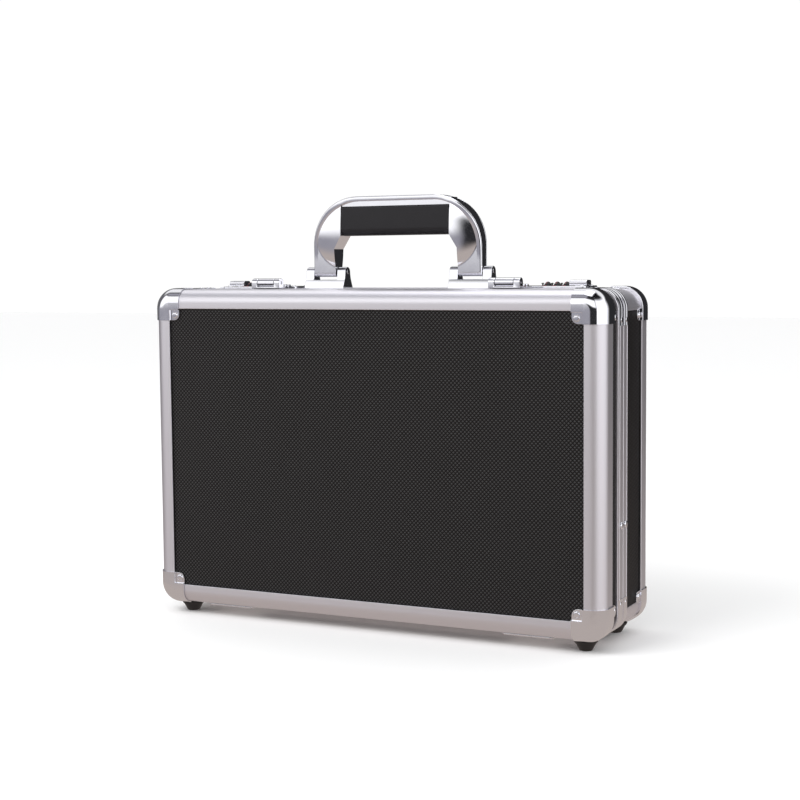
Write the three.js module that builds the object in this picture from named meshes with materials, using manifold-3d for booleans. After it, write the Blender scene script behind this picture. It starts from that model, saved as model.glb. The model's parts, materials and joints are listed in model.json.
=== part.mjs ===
// Aluminium attache case: two shells of black board held in aluminium edge and rim profiles,
// with chromed corner caps, two combination latches, a folding carry handle, lid stays
// and four feet.
//
// Millimetres, +Z up. The case stands on its feet with the lid's face towards -Y and the
// handle on top. The origin is on the standing surface, midway across the case's width and
// midway through its depth. Left is -X and right is +X.

import * as THREE from 'three';
import { mergeVertices } from 'three/addons/utils/BufferGeometryUtils.js';
import Module from 'manifold-3d';

const wasm = await Module();
wasm.setup();

// ---------------------------------------------------------------- driving dimensions

const gap = 0.3; // between pieces that touch or seat on each other
const slack = 0.8; // at each side of a piece that swings between two ears
const overcut = 1; // that a cut runs past a face, and that a joined solid runs into its base

// Case
const caseWidth = 450;
const caseHeight = 298.5;
const lidDepth = 50; // lid's face to the seam
const baseDepth = 72.5; // seam to the base's rear face
const seamGap = 0.6;
const cornerRadius = 18; // of the case's outline, seen from the front

// Edge profile, which joins a panel to the walls around it
const edgeFlange = 18; // width seen on the panel's side
const edgeSide = 23; // width seen on the wall's side
const edgeRadius = 12.5;
const edgeMetal = 1.6;
const edgeLip = 1.2; // inner leg that closes the channel round each board
const edgeBackset = 2; // its ends stop short of the corners, under the caps

// Boards and lining
const board = 4;
const liningThickness = 2;

// Rim profile, which closes each shell's mouth
const lidRimWidth = 14;
const baseRimWidth = 11;
const rimWeb = 7.1; // solid stretch next to the seam
const rimGrooveFromSeam = 9;
const rimGrooveWidth = 1;
const rimGrooveDepth = 0.7;

// Corner caps
const capLeg = 29; // along each edge, from the case's outline
const capMetal = 0.9;
const capHem = 0.9;
const capTabRadius = 6;
const capTabFromRim = 2.3; // between a side tab on the lid and the lid's rim

// Feet
const footHeight = 11; // standing surface to the shells
const footTopRadius = 10.7;
const footBottomRadius = 5.5;
const footCollar = 1; // straight band round its top
const footFromSide = 24;
const footFromFace = 23;

// Bottom hinges
const hingeWidth = 47;
const hingeFromFoot = 15.3;
const hingeLeafUnderEdge = 12; // how far the lid's leaf runs under the lid's edge profile
const hingeLeafMetal = 1.4;
const hingeKnuckleRadius = 2.2;
const hingePinRadius = 1.2;

// Handle brackets
const bracketSpacing = 149;
const bracketEar = 8.5;
const bracketDepth = 19;
const bracketSaddle = 7.9; // top of the saddle, above the shell
const bracketBase = 1; // height of its straight sides, above the shell
const bracketFromRim = 1.2; // clear space between the base's rim and the bracket
const handlePinHeight = 15.3; // above the shell
const handlePinRadius = 2;
const earRadius = 4.6;

// Handle
const handleHeight = 85; // above the shell
const handleLegWidth = 23;
const handleOuterRadius = 47;
const handleDepth = 20;
const handleLegDepth = 13.6;
const handleCrownRadius = 5;
const handleCrown = 9.4; // metal above the grip
const gripFromLeg = 7.6; // from the grip's end to the leg's inner side
const gripHeight = 26.9;
const gripCornerRadius = 7;
const scoopHeight = 12; // of the slope from the leg in to the grip's end

// Latches: a hasp on the lid and a combination lock on the base
const haspWidth = 30;
const haspPlate = 1.6;
const haspFrontFromSeam = 16.5;
const haspRearFromSeam = 0.8;
const haspEar = 6;
const haspKnuckleRadius = 4.2;
const haspPinRadius = 1.2;
const haspReach = 16; // past the seam, over the lock
const haspMetal = 2;
const haspTopOverPin = 1.4; // top of the hasp's plate, above its pin
const haspOverRidge = 1; // clear space under the hasp's plate
const haspTipRadius = 4;
const latchRidgeHeight = 4;
const latchRidgeWidth = 5;
const lockFromSide = 39;
const lockFromRim = 0.5;
const lockFromEdge = 5; // between the lock and the base's edge profile
const lockFromLining = 0.4; // between the box under the plate and the lining
const lockMargin = 2; // of the plate, past the opening, the button and the hasp
const lockProud = 1.9; // top of the lock's plate, above the shell
const lockSkirtMetal = 1.2;
const dialPitch = 9;
const dialFromHasp = 6.4;
const dialFromLining = 1;
const dialForward = 1.5; // axle and button, in front of the lock's middle
const dialRadius = 6.2;
const dialWidth = 6.2;
const dialRidgeWidth = 2.8;
const dialShoulderRadius = 3.8;
const dialAxleRadius = 1.2;
const buttonFromDials = 1;
const buttonLength = 16.4;
const buttonDepth = 12;
const buttonProud = 7; // above the shell
const buttonRadius = 2; // of its long upper edges
const buttonStemLength = 5;
const buttonStemDepth = 5;
const buttonTravel = 5;

// Lid stays, one linkage of two arms on each side
const stayHeight = 95; // pivots above the shells' bottom
const stayArmWidth = 10;
const stayArmMetal = 1.5;
const stayRivetRadius = 1.6;
const stayRivetHeadRadius = 3.2;
const stayRivetHead = 1.3;
const stayElbowHead = 1;

// Facets
const quarterSteps = 4;
const roundSteps = 16;
const dialSteps = 20;
const rivetSteps = 12;

// ---------------------------------------------------------------- derived places

const halfWidth = caseWidth / 2;
const zBottom = footHeight;
const zTop = footHeight + caseHeight;
const seamY = lidDepth - (lidDepth + baseDepth) / 2;
const boardInset = edgeMetal + gap; // board's outer face, below the profiles' outer faces
const boardInner = boardInset + board;
const channelInner = boardInner + gap;
const profileInner = channelInner + edgeLip; // innermost face of the edge and rim profiles
const liningInset = profileInner + gap;
const liningInner = liningInset + liningThickness;
const boardEdge = edgeRadius + gap; // where a board ends in the edge profile's corner
const capProud = gap + capMetal;
const tabUnder = boardInset - gap; // underside of a cap's tab, which lies on the board
const edgeEnd = Math.max(cornerRadius, edgeFlange) + edgeBackset; // of each edge profile
const capTabReach = lidDepth - lidRimWidth - edgeSide - capTabFromRim; // of a side tab

// Hinges stand beside the feet, and their leaves reach from the seam to the edge profile.
const hingeFromCentre = halfWidth - footFromSide - footTopRadius - hingeFromFoot - hingeWidth / 2;
const hingeLeafReach = lidDepth - edgeSide + hingeLeafUnderEdge;
const hingeZ = zBottom - gap - hingeKnuckleRadius;
const knuckleLength = (hingeWidth - 2 * gap) / 4;

const bracketWidth = handleLegWidth + 2 * (slack + bracketEar);
const bracketY = seamY + baseRimWidth + bracketFromRim + bracketDepth / 2;
const gripTop = handleHeight - handleCrown; // above the shell
const gripLength = bracketSpacing - handleLegWidth - 2 * gripFromLeg;

// A lock is laid out from its outer end: button, dials, then the keeper under the hasp.
const lockOuter = halfWidth - lockFromSide;
const buttonInner = lockOuter - lockMargin - buttonLength;
const lastDial = buttonInner - buttonFromDials - dialWidth / 2;
const firstDial = lastDial - 2 * dialPitch;
const haspFromCentre = firstDial - dialWidth / 2 - dialFromHasp - haspWidth / 2;
const lockInner = haspFromCentre - haspWidth / 2 - lockMargin;
const lockFront = seamY + baseRimWidth + lockFromRim;
const lockRear = seamY + baseDepth - edgeSide - lockFromEdge;
const lockY = (lockFront + lockRear) / 2 - dialForward; // dials' axle and button
const lockBoxUnder = zTop - liningInset + lockFromLining;
const dialZ = zTop - liningInset + dialFromLining + dialRadius;
const haspPinHeight = latchRidgeHeight + haspOverRidge + haspMetal - haspTopOverPin;
const haspY = seamY - haspFrontFromSeam + haspKnuckleRadius;
const haspKnuckleHalf = haspWidth / 2 - haspEar - gap;

// Pivots sit in the rims' solid webs. They are as far from the hinge as the arms are long,
// so the hinge, the two pivots and the elbow are the corners of a rhombus, and each arm
// turns as far as the lid does.
const stayFromSeam = rimWeb - stayRivetRadius - gap;
const stayPivot = (shell) => [seamY - shell.into * stayFromSeam, zBottom + stayHeight];
const stayElbow = [seamY, 2 * (zBottom + stayHeight) - hingeZ];
const stayRest = { base: liningInner + gap, lid: liningInner + 2 * gap + stayArmMetal };

// A shell's own depth runs from its face towards the seam.
const shells = [
  { name: 'lid', face: seamY - lidDepth, into: 1, depth: lidDepth, rim: lidRimWidth },
  { name: 'base', face: seamY + baseDepth, into: -1, depth: baseDepth, rim: baseRimWidth },
];
const sides = [
  { name: 'left', x: -1 },
  { name: 'right', x: 1 },
];
const yAt = (shell, depth) => shell.face + shell.into * depth;
const zAt = (up, inset) => (up > 0 ? zTop - inset : zBottom + inset);

// ---------------------------------------------------------------- finishes

const finishes = {
  anodised: new THREE.MeshStandardMaterial({ color: 0xc9c9ce, roughness: 0.42, metalness: 1 }),
  chrome: new THREE.MeshStandardMaterial({ color: 0xd8d9dc, roughness: 0.1, metalness: 1 }),
  blackBoard: new THREE.MeshStandardMaterial({ color: 0x17161a, roughness: 0.45 }),
  blackGrip: new THREE.MeshStandardMaterial({ color: 0x1b1b1d, roughness: 0.6 }),
  blackRubber: new THREE.MeshStandardMaterial({ color: 0x151314, roughness: 0.7 }),
  lining: new THREE.MeshStandardMaterial({ color: 0x2a2b2f, roughness: 0.95 }),
  dial: new THREE.MeshStandardMaterial({ color: 0x2a1518, roughness: 0.35 }),
};

// ---------------------------------------------------------------- solids

function solidOf(geometry) {
  geometry.deleteAttribute('normal');
  geometry.deleteAttribute('uv');
  const merged = mergeVertices(geometry);
  const corners = merged.index.array;
  const triangles = [];
  for (let i = 0; i < corners.length; i += 3) {
    const [a, b, c] = corners.subarray(i, i + 3);
    if (a !== b && b !== c && c !== a) triangles.push(a, b, c);
  }
  return new wasm.Manifold(new wasm.Mesh({
    numProp: 3,
    vertProperties: merged.attributes.position.array,
    triVerts: new Uint32Array(triangles),
  }));
}

function meshOf(name, solid, finish) {
  const { vertProperties, triVerts } = solid.getMesh();
  const geometry = new THREE.BufferGeometry();
  geometry.setAttribute('position', new THREE.BufferAttribute(vertProperties, 3));
  geometry.setIndex(new THREE.BufferAttribute(triVerts, 1));
  geometry.computeVertexNormals();
  const mesh = new THREE.Mesh(geometry, finish);
  mesh.name = name;
  return mesh;
}

const xAxis = new THREE.Vector3(1, 0, 0);
const yAxis = new THREE.Vector3(0, 1, 0);
const zAxis = new THREE.Vector3(0, 0, 1);
const extrudedAlong = {
  x: new THREE.Matrix4().makeBasis(yAxis, zAxis, xAxis),
  y: new THREE.Matrix4().makeBasis(xAxis, zAxis, yAxis.clone().negate()),
  z: new THREE.Matrix4(),
};
const turnedAbout = {
  x: new THREE.Matrix4().makeRotationZ(-Math.PI / 2),
  y: new THREE.Matrix4(),
  z: new THREE.Matrix4().makeRotationX(Math.PI / 2),
};

const vectors = (points) => points.map(([a, b]) => new THREE.Vector2(a, b));

function arc(centreA, centreB, radius, startDegrees, endDegrees, steps = quarterSteps) {
  const points = [];
  for (let i = 0; i <= steps; i += 1) {
    const degrees = startDegrees + ((endDegrees - startDegrees) * i) / steps;
    const angle = THREE.MathUtils.degToRad(degrees);
    points.push([centreA + radius * Math.cos(angle), centreB + radius * Math.sin(angle)]);
  }
  return points;
}

// An outline carried along an axis. The outline is in (y, z), (x, z) or (x, y).
function prism(axis, outline, endA, endB, hole = null) {
  const from = Math.min(endA, endB);
  const to = Math.max(endA, endB);
  const shape = new THREE.Shape(vectors(outline));
  if (hole) shape.holes.push(new THREE.Path(vectors(hole)));
  const geometry = new THREE.ExtrudeGeometry(shape, { depth: to - from, bevelEnabled: false });
  geometry.translate(0, 0, axis === 'y' ? -to : from);
  geometry.applyMatrix4(extrudedAlong[axis]);
  return solidOf(geometry);
}

// A profile of [radius, place along the axis] spun round an axis through the centre.
function turned(axis, profile, centre, steps = roundSteps) {
  const loop = profile[0][0] > 0 ? [...profile, profile[0]] : profile;
  let area = 0;
  loop.forEach(([radius, along], i) => {
    const [nextRadius, nextAlong] = loop[(i + 1) % loop.length];
    area += radius * nextAlong - nextRadius * along;
  });
  const outward = area > 0 ? loop : [...loop].reverse();
  const geometry = new THREE.LatheGeometry(vectors(outward), steps);
  geometry.applyMatrix4(turnedAbout[axis]);
  geometry.translate(...centre);
  return solidOf(geometry);
}

function rod(axis, radius, centre, endA, endB, steps = roundSteps) {
  const from = Math.min(endA, endB);
  const to = Math.max(endA, endB);
  return turned(axis, [[0, from], [radius, from], [radius, to], [0, to]], centre, steps);
}

function box([xA, xB], [yA, yB], [zA, zB]) {
  const geometry = new THREE.BoxGeometry(Math.abs(xB - xA), Math.abs(yB - yA), Math.abs(zB - zA));
  geometry.translate((xA + xB) / 2, (yA + yB) / 2, (zA + zB) / 2);
  return solidOf(geometry);
}

// The case's outline seen from the front, drawn in by an inset.
function caseOutline(inset) {
  const radius = cornerRadius - inset;
  const right = halfWidth - cornerRadius;
  const top = zTop - cornerRadius;
  const bottom = zBottom + cornerRadius;
  return [
    ...arc(right, top, radius, 0, 90),
    ...arc(-right, top, radius, 90, 180),
    ...arc(-right, bottom, radius, 180, 270),
    ...arc(right, bottom, radius, 270, 360),
  ];
}

// A closed band round the case, between two insets and two depths of a shell.
function band(shell, outerInset, innerInset, depthA, depthB) {
  return prism('y', caseOutline(outerInset), yAt(shell, depthA), yAt(shell, depthB),
    caseOutline(innerInset));
}

function bar(centreA, centreB, width) {
  const [yA, zA] = centreA;
  const [yB, zB] = centreB;
  const heading = THREE.MathUtils.radToDeg(Math.atan2(zB - zA, yB - yA));
  return [
    ...arc(yA, zA, width / 2, heading + 90, heading + 270, 2 * quarterSteps),
    ...arc(yB, zB, width / 2, heading - 90, heading + 90, 2 * quarterSteps),
  ];
}

// ---------------------------------------------------------------- shells

function panel(shell) {
  const x = halfWidth - boardEdge;
  return box([-x, x], [yAt(shell, boardInset), yAt(shell, boardInner)],
    [zBottom + boardEdge, zTop - boardEdge]);
}

function wallFrame(shell) {
  const mouth = shell.depth - rimWeb - gap;
  let walls = band(shell, boardInset, boardInner, boardEdge, mouth);
  if (shell.name === 'base') {
    for (const side of sides) walls = walls.subtract(lockOpening(side));
  }
  return walls;
}

// Section of the edge profile as [inset from the side, depth from the face]. Each board's
// edge sits in a channel between the outer flange and an inner lip.
function edgeSection() {
  const web = edgeRadius - edgeLip;
  const innerRadius = edgeRadius - edgeMetal;
  const swing = THREE.MathUtils.radToDeg(Math.asin(edgeLip / innerRadius));
  return [
    [edgeFlange, 0],
    ...arc(edgeRadius, edgeRadius, edgeRadius, 270, 180),
    [0, edgeSide],
    [edgeMetal, edgeSide],
    [edgeMetal, edgeRadius],
    [channelInner, edgeRadius],
    [channelInner, edgeSide],
    [profileInner, edgeSide],
    [profileInner, web],
    ...arc(edgeRadius, edgeRadius, innerRadius, 180 + swing, 270 - swing),
    [web, profileInner],
    [edgeFlange, profileInner],
    [edgeFlange, channelInner],
    [edgeRadius, channelInner],
    [edgeRadius, edgeMetal],
    [edgeFlange, edgeMetal],
  ];
}

// The profile is straight, and the caps cover its ends.
function levelEdge(shell, up) {
  const outline = edgeSection().map(([inset, depth]) => [yAt(shell, depth), zAt(up, inset)]);
  const end = halfWidth - edgeEnd;
  return prism('x', outline, -end, end);
}

function uprightEdge(shell, side) {
  const outline = edgeSection().map(([inset, depth]) => [
    side.x * (halfWidth - inset), yAt(shell, depth)]);
  return prism('z', outline, zBottom + edgeEnd, zTop - edgeEnd);
}

function rim(shell) {
  const seam = shell.depth - seamGap / 2;
  const outerEnd = shell.depth - shell.rim;
  const groove = shell.depth - rimGrooveFromSeam;
  let profile = band(shell, 0, profileInner, outerEnd, seam);
  profile = profile.subtract(
    band(shell, edgeMetal, channelInner, outerEnd - overcut, shell.depth - rimWeb));
  profile = profile.subtract(
    band(shell, -overcut, rimGrooveDepth, groove, groove - rimGrooveWidth));
  return profile.subtract(stayHoles(shell, -overcut, profileInner + overcut));
}

function lining(shell) {
  const mouth = shell.depth - seamGap / 2 - gap;
  const outer = prism('y', caseOutline(liningInset), yAt(shell, liningInset), yAt(shell, mouth));
  const inner = prism('y', caseOutline(liningInner), yAt(shell, liningInner),
    yAt(shell, mouth + overcut));
  const holes = stayHoles(shell, liningInset - overcut, liningInner + overcut);
  return outer.subtract(inner).subtract(holes);
}

// ---------------------------------------------------------------- corner caps

// Section as [inset, depth]: a pressed sheet over the edge profile, with a hem turned down
// past the profile's long edge on the wall.
function capSection() {
  return [
    [edgeFlange + gap + capHem, -capProud],
    ...arc(edgeRadius, edgeRadius, edgeRadius + capProud, 270, 180),
    [-capProud, edgeSide + gap + capHem],
    [tabUnder, edgeSide + gap + capHem],
    [tabUnder, edgeSide + gap],
    [-gap, edgeSide + gap],
    ...arc(edgeRadius, edgeRadius, edgeRadius + gap, 180, 270),
    [edgeFlange + gap + capHem, -gap],
  ];
}

// The rounded corner itself is the same section spun round the corner's centre.
function capBall(shell, side, up) {
  const section = capSection().slice(1, -1);
  const spun = [
    [0, yAt(shell, -capProud)],
    ...section.map(([inset, depth]) => [cornerRadius - inset, yAt(shell, depth)]),
    [0, yAt(shell, -gap)],
  ];
  const centreX = side.x * (halfWidth - cornerRadius);
  const centreZ = zAt(up, cornerRadius);
  const reach = cornerRadius + 2 * capProud;
  const quarter = box([centreX, centreX + side.x * reach], [shells[0].face - reach,
    shells[1].face + reach], [centreZ, centreZ + up * reach]);
  return turned('y', spun, [centreX, 0, centreZ], 4 * quarterSteps).intersect(quarter);
}

function cornerCap(shell, side, up) {
  const join = 0.01; // overlap that joins the straight legs to the rounded corner
  const x = (inset) => side.x * (halfWidth - inset);
  const z = (inset) => zAt(up, inset);
  const y = (depth) => yAt(shell, depth);
  const section = capSection();
  const legStart = cornerRadius - join;
  const legX = prism('x', section.map(([inset, depth]) => [y(depth), z(inset)]),
    x(legStart), x(capLeg));
  const legZ = prism('z', section.map(([inset, depth]) => [x(inset), y(depth)]),
    z(legStart), z(capLeg));

  // Flat tabs, one on each board that meets in the corner, each held by a rivet
  const tabTop = tabUnder - capMetal;
  const tabStart = edgeFlange + gap;
  const hemEnd = tabStart + capHem;
  const faceHem = [
    [tabStart, tabStart],
    [capLeg, tabStart],
    [capLeg, hemEnd],
    [hemEnd, hemEnd],
    [hemEnd, capLeg],
    [tabStart, capLeg],
  ];
  const faceRadius = Math.min(capTabRadius, capLeg - tabStart);
  const faceTab = [
    [tabStart, tabStart],
    [capLeg, tabStart],
    ...arc(capLeg - faceRadius, capLeg - faceRadius, faceRadius, 0, 90),
    [tabStart, capLeg],
  ];
  const sideRadius = Math.min((capLeg - tabStart) / 2, capTabReach - gap);
  const sideStart = edgeSide + gap;
  const sideEnd = edgeSide + capTabReach - sideRadius;
  const sideTab = [
    [tabStart, sideStart],
    [capLeg, sideStart],
    ...arc(capLeg - sideRadius, sideEnd, sideRadius, 0, 90),
    ...arc(tabStart + sideRadius, sideEnd, sideRadius, 90, 180),
  ];
  const hem = prism('y', faceHem.map(([a, b]) => [x(a), z(b)]), y(-capProud), y(tabUnder));
  const onFace = prism('y', faceTab.map(([a, b]) => [x(a), z(b)]), y(tabTop), y(tabUnder));
  const onSide = prism('x', sideTab.map(([a, b]) => [y(b), z(a)]), x(tabTop), x(tabUnder));
  const onTop = prism('z', sideTab.map(([a, b]) => [x(a), y(b)]), z(tabTop), z(tabUnder));
  return capBall(shell, side, up).add(legX).add(legZ)
    .add(hem).add(onFace).add(onSide).add(onTop);
}

// ---------------------------------------------------------------- feet and hinges

function foot() {
  const top = footHeight - capProud - gap;
  const profile = [
    [0, 0],
    [footBottomRadius, 0],
    [footTopRadius, top - footCollar],
    [footTopRadius, top],
    [0, top],
  ];
  return turned('z', profile, [0, 0, 0]);
}

// A leaf of a butt hinge, seen from its own middle: the lid's leaf carries the two outer
// knuckles and the base's leaf carries the middle one.
function hingeLeaf(shell) {
  const half = hingeWidth / 2;
  const isLid = shell.name === 'lid';
  const spans = isLid
    ? [[-half, -half + knuckleLength], [half - knuckleLength, half]]
    : [[-half + knuckleLength + gap, half - knuckleLength - gap]];
  const outward = -shell.into;
  const leafTop = hingeKnuckleRadius;
  const leafUnder = leafTop - hingeLeafMetal;
  const plateStart = hingeKnuckleRadius + gap;
  let leaf = box([-half, half], [outward * plateStart, outward * hingeLeafReach],
    [leafUnder, leafTop]);
  for (const [from, to] of spans) {
    leaf = leaf.add(rod('x', hingeKnuckleRadius, [0, 0, 0], from, to));
    const strap = [0, outward * (plateStart + overcut)];
    leaf = leaf.add(box([from, to], strap, [leafUnder, leafTop]));
  }
  const bore = rod('x', hingePinRadius + gap, [0, 0, 0], -half - overcut, half + overcut);
  return leaf.subtract(bore);
}

// ---------------------------------------------------------------- handle

// Bracket seen from its pin: two ears on a saddle, standing on the base's top board.
function handleBracket() {
  const half = bracketWidth / 2;
  const under = -tabUnder - handlePinHeight;
  const shoulder = bracketBase - handlePinHeight;
  const outline = [
    [-bracketDepth / 2, under],
    [bracketDepth / 2, under],
    [bracketDepth / 2, shoulder],
    ...arc(0, 0, earRadius, 0, 180, 2 * quarterSteps),
    [-bracketDepth / 2, shoulder],
  ];
  const slot = handleLegWidth / 2 + slack;
  const saddle = bracketSaddle - handlePinHeight;
  return prism('x', outline, -half, half)
    .subtract(box([-slot, slot], [-bracketDepth, bracketDepth], [saddle, 2 * earRadius]))
    .subtract(rod('x', handlePinRadius + gap, [0, 0, 0], -half - overcut, half + overcut));
}

function handlePin() {
  const half = bracketWidth / 2 + gap;
  return rod('x', handlePinRadius, [0, 0, 0], -half, half);
}

// Handle seen from its pivot line: a D-shaped frame whose legs end in round eyes.
function handleFrame() {
  const outer = (bracketSpacing + handleLegWidth) / 2;
  const inner = (bracketSpacing - handleLegWidth) / 2;
  const crown = handleHeight - handlePinHeight;
  const eye = -earRadius;
  const seat = gripLength / 2 + gap;
  const gripUnder = gripTop - gripHeight - handlePinHeight;
  const gripRoof = gripTop - handlePinHeight + gap;
  const bendX = outer - handleOuterRadius;
  const bendZ = crown - handleOuterRadius;
  const face = [
    [inner, eye],
    [outer, eye],
    ...arc(bendX, bendZ, handleOuterRadius, 0, 90, 2 * quarterSteps),
    ...arc(-bendX, bendZ, handleOuterRadius, 90, 180, 2 * quarterSteps),
    [-outer, eye],
    [-inner, eye],
    [-inner, gripUnder - scoopHeight],
    [-seat, gripUnder],
    [-seat, gripRoof],
    [seat, gripRoof],
    [seat, gripUnder],
    [inner, gripUnder - scoopHeight],
  ];
  const half = handleDepth / 2;
  const legHalf = handleLegDepth / 2;
  const flank = [
    ...arc(0, 0, earRadius, 180, 360, 2 * quarterSteps),
    [legHalf, 2 * earRadius],
    [half, gripUnder - scoopHeight],
    ...arc(half - handleCrownRadius, crown - handleCrownRadius, handleCrownRadius, 0, 90),
    ...arc(handleCrownRadius - half, crown - handleCrownRadius, handleCrownRadius, 90, 180),
    [-half, gripUnder - scoopHeight],
    [-legHalf, 2 * earRadius],
  ];
  const past = outer + overcut;
  return prism('y', face, -half, half)
    .intersect(prism('x', flank, -past, past))
    .subtract(rod('x', handlePinRadius + gap, [0, 0, 0], -past, past));
}

function handleGrip() {
  const top = gripTop - handlePinHeight;
  const under = top - gripHeight;
  const half = handleDepth / 2;
  const radius = gripCornerRadius;
  const outline = [
    [half, top],
    [-half, top],
    ...arc(radius - half, under + radius, radius, 180, 270),
    ...arc(half - radius, under + radius, radius, 270, 360),
  ];
  return prism('x', outline, -gripLength / 2, gripLength / 2);
}

// ---------------------------------------------------------------- latches

// Hasp's base, seen from its pin: a plate on the lid with an ear at each end.
function haspBase() {
  const half = haspWidth / 2;
  const under = gap - haspPinHeight;
  const rear = haspFrontFromSeam - haspKnuckleRadius - haspRearFromSeam;
  const ears = [
    [-haspKnuckleRadius, under],
    [haspKnuckleRadius, under],
    ...arc(0, 0, haspKnuckleRadius, 0, 180, 2 * quarterSteps),
  ];
  const ridge = latchRidge(rear - latchRidgeWidth, rear, under);
  return prism('x', ears, -half, half)
    .add(box([-half, half], [0, rear], [under, under + haspPlate]))
    .add(prism('x', ridge, -half, half))
    .subtract(rod('x', haspKnuckleRadius + gap, [0, 0, 0], -half + haspEar, half - haspEar))
    .subtract(rod('x', haspPinRadius + gap, [0, 0, 0], -half - overcut, half + overcut));
}

// A low half-round ridge across the latch, given its two edges and its underside.
function latchRidge(yA, yB, under) {
  const middle = (yA + yB) / 2;
  const radius = Math.abs(yB - yA) / 2;
  const shoulder = under - gap + latchRidgeHeight - radius;
  return [
    [middle - radius, under],
    [middle + radius, under],
    ...arc(middle, shoulder, radius, 0, 180, 2 * quarterSteps),
  ];
}

// Hasp seen from its pin: a knuckle between the ears and a plate that laps over the lock.
function hasp() {
  const reach = haspFrontFromSeam - haspKnuckleRadius + haspReach;
  const half = haspWidth / 2 - gap;
  const top = haspTopOverPin;
  const under = top - haspMetal;
  const plateStart = haspKnuckleRadius + 2 * gap;
  const knuckle = [-haspKnuckleHalf, haspKnuckleHalf];
  const neck = box(knuckle, [0, plateStart + overcut], [under, top]);
  const outline = [
    [half, plateStart],
    ...arc(half - haspTipRadius, reach - haspTipRadius, haspTipRadius, 0, 90),
    ...arc(haspTipRadius - half, reach - haspTipRadius, haspTipRadius, 90, 180),
    [-half, plateStart],
  ];
  return rod('x', haspKnuckleRadius, [0, 0, 0], ...knuckle)
    .add(neck)
    .add(prism('z', outline, under, top))
    .subtract(rod('x', haspPinRadius + gap, [0, 0, 0], -haspWidth, haspWidth));
}

function lockOpening(side) {
  const width = [side.x * (lockInner + lockMargin), side.x * (lockOuter - lockMargin)];
  const depth = [lockFront + lockMargin, lockRear - lockMargin];
  return box(width, depth, [zTop - boardInner - overcut, zTop]);
}

// Lock body: a cover plate, a box let into the base's top board, and the dials' axle.
function lockBody(side) {
  const x = (place) => side.x * place;
  const inset = lockMargin + gap; // of the box, inside the opening
  const wall = inset + lockSkirtMetal;
  const plateUnder = zTop - tabUnder;
  const plateTop = zTop + lockProud;
  const boxDepth = [lockFront + inset, lockRear - inset];
  const boxHeight = [lockBoxUnder, plateUnder + gap];
  const cutHeight = [lockBoxUnder - overcut, plateTop + overcut];
  const keeper = [x(haspFromCentre - haspWidth / 2), x(haspFromCentre + haspWidth / 2)];
  const keeperFront = seamY + haspRearFromSeam;
  const ridge = latchRidge(keeperFront, keeperFront + latchRidgeWidth, zTop + gap);
  let body = box([x(lockInner), x(lockOuter)], [lockFront, lockRear], [plateUnder, plateTop])
    .add(box([x(lockInner + inset), x(lockOuter - inset)], boxDepth, boxHeight))
    .subtract(box([x(lockInner + wall), x(lockOuter - wall)],
      [lockFront + wall, lockRear - wall], [lockBoxUnder - overcut, plateUnder]))
    .add(box(keeper, [keeperFront, lockFront + overcut], [zTop + gap, plateTop]))
    .add(prism('x', ridge, ...keeper));

  // Two cheeks under the plate hold the axle
  const slotHalf = dialWidth / 2 + gap;
  const firstCheek = firstDial - slotHalf - lockSkirtMetal;
  const lastCheek = lastDial + slotHalf;
  for (const cheek of [firstCheek, lastCheek]) {
    body = body.add(box([x(cheek), x(cheek + lockSkirtMetal)], boxDepth, boxHeight));
  }
  const slotReach = dialRadius + 2 * gap;
  for (let place = firstDial; place < lastDial + slotHalf; place += dialPitch) {
    body = body.subtract(box([x(place - slotHalf), x(place + slotHalf)],
      [lockY - slotReach, lockY + slotReach], cutHeight));
  }
  const stem = buttonStemPlace();
  const stemReach = buttonStemDepth / 2 + gap;
  body = body.subtract(box([x(stem.from - gap), x(stem.to + buttonTravel + gap)],
    [lockY - stemReach, lockY + stemReach], cutHeight));
  const axleEnds = [x(firstCheek + gap), x(lastCheek + lockSkirtMetal - gap)];
  return body.add(rod('x', dialAxleRadius, [0, lockY, dialZ], ...axleEnds));
}

// The stem is midway between the button's ends when the button has moved half its travel.
function buttonStemPlace() {
  const from = buttonInner + (buttonLength - buttonTravel - buttonStemLength) / 2;
  return { from, to: from + buttonStemLength };
}

function releaseButton(side) {
  const x = (place) => side.x * place;
  const stem = buttonStemPlace();
  const half = buttonDepth / 2;
  const under = zTop + lockProud + gap;
  const shoulder = zTop + buttonProud - buttonRadius;
  const finger = [
    [lockY - half, under],
    [lockY + half, under],
    ...arc(lockY + half - buttonRadius, shoulder, buttonRadius, 0, 90),
    ...arc(lockY - half + buttonRadius, shoulder, buttonRadius, 90, 180),
  ];
  return prism('x', finger, x(buttonInner), x(buttonInner + buttonLength))
    .add(box([x(stem.from), x(stem.to)],
      [lockY - buttonStemDepth / 2, lockY + buttonStemDepth / 2],
      [lockBoxUnder + overcut, under + overcut]));
}

// A dial narrows from its shoulders to a thin rim, and has a bore for the axle.
function dial() {
  const half = dialWidth / 2;
  const ridge = dialRidgeWidth / 2;
  const bore = dialAxleRadius + gap;
  const profile = [
    [bore, -half],
    [dialShoulderRadius, -half],
    [dialRadius, -ridge],
    [dialRadius, ridge],
    [dialShoulderRadius, half],
    [bore, half],
  ];
  return turned('x', profile, [0, 0, 0], dialSteps);
}

// ---------------------------------------------------------------- lid stays

function stayHoles(shell, insetA, insetB) {
  const [y, z] = stayPivot(shell);
  const radius = stayRivetRadius + gap;
  const through = (side) => rod('x', radius, [0, y, z],
    side.x * (halfWidth - insetA), side.x * (halfWidth - insetB), rivetSteps);
  return through(sides[0]).add(through(sides[1]));
}

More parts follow.
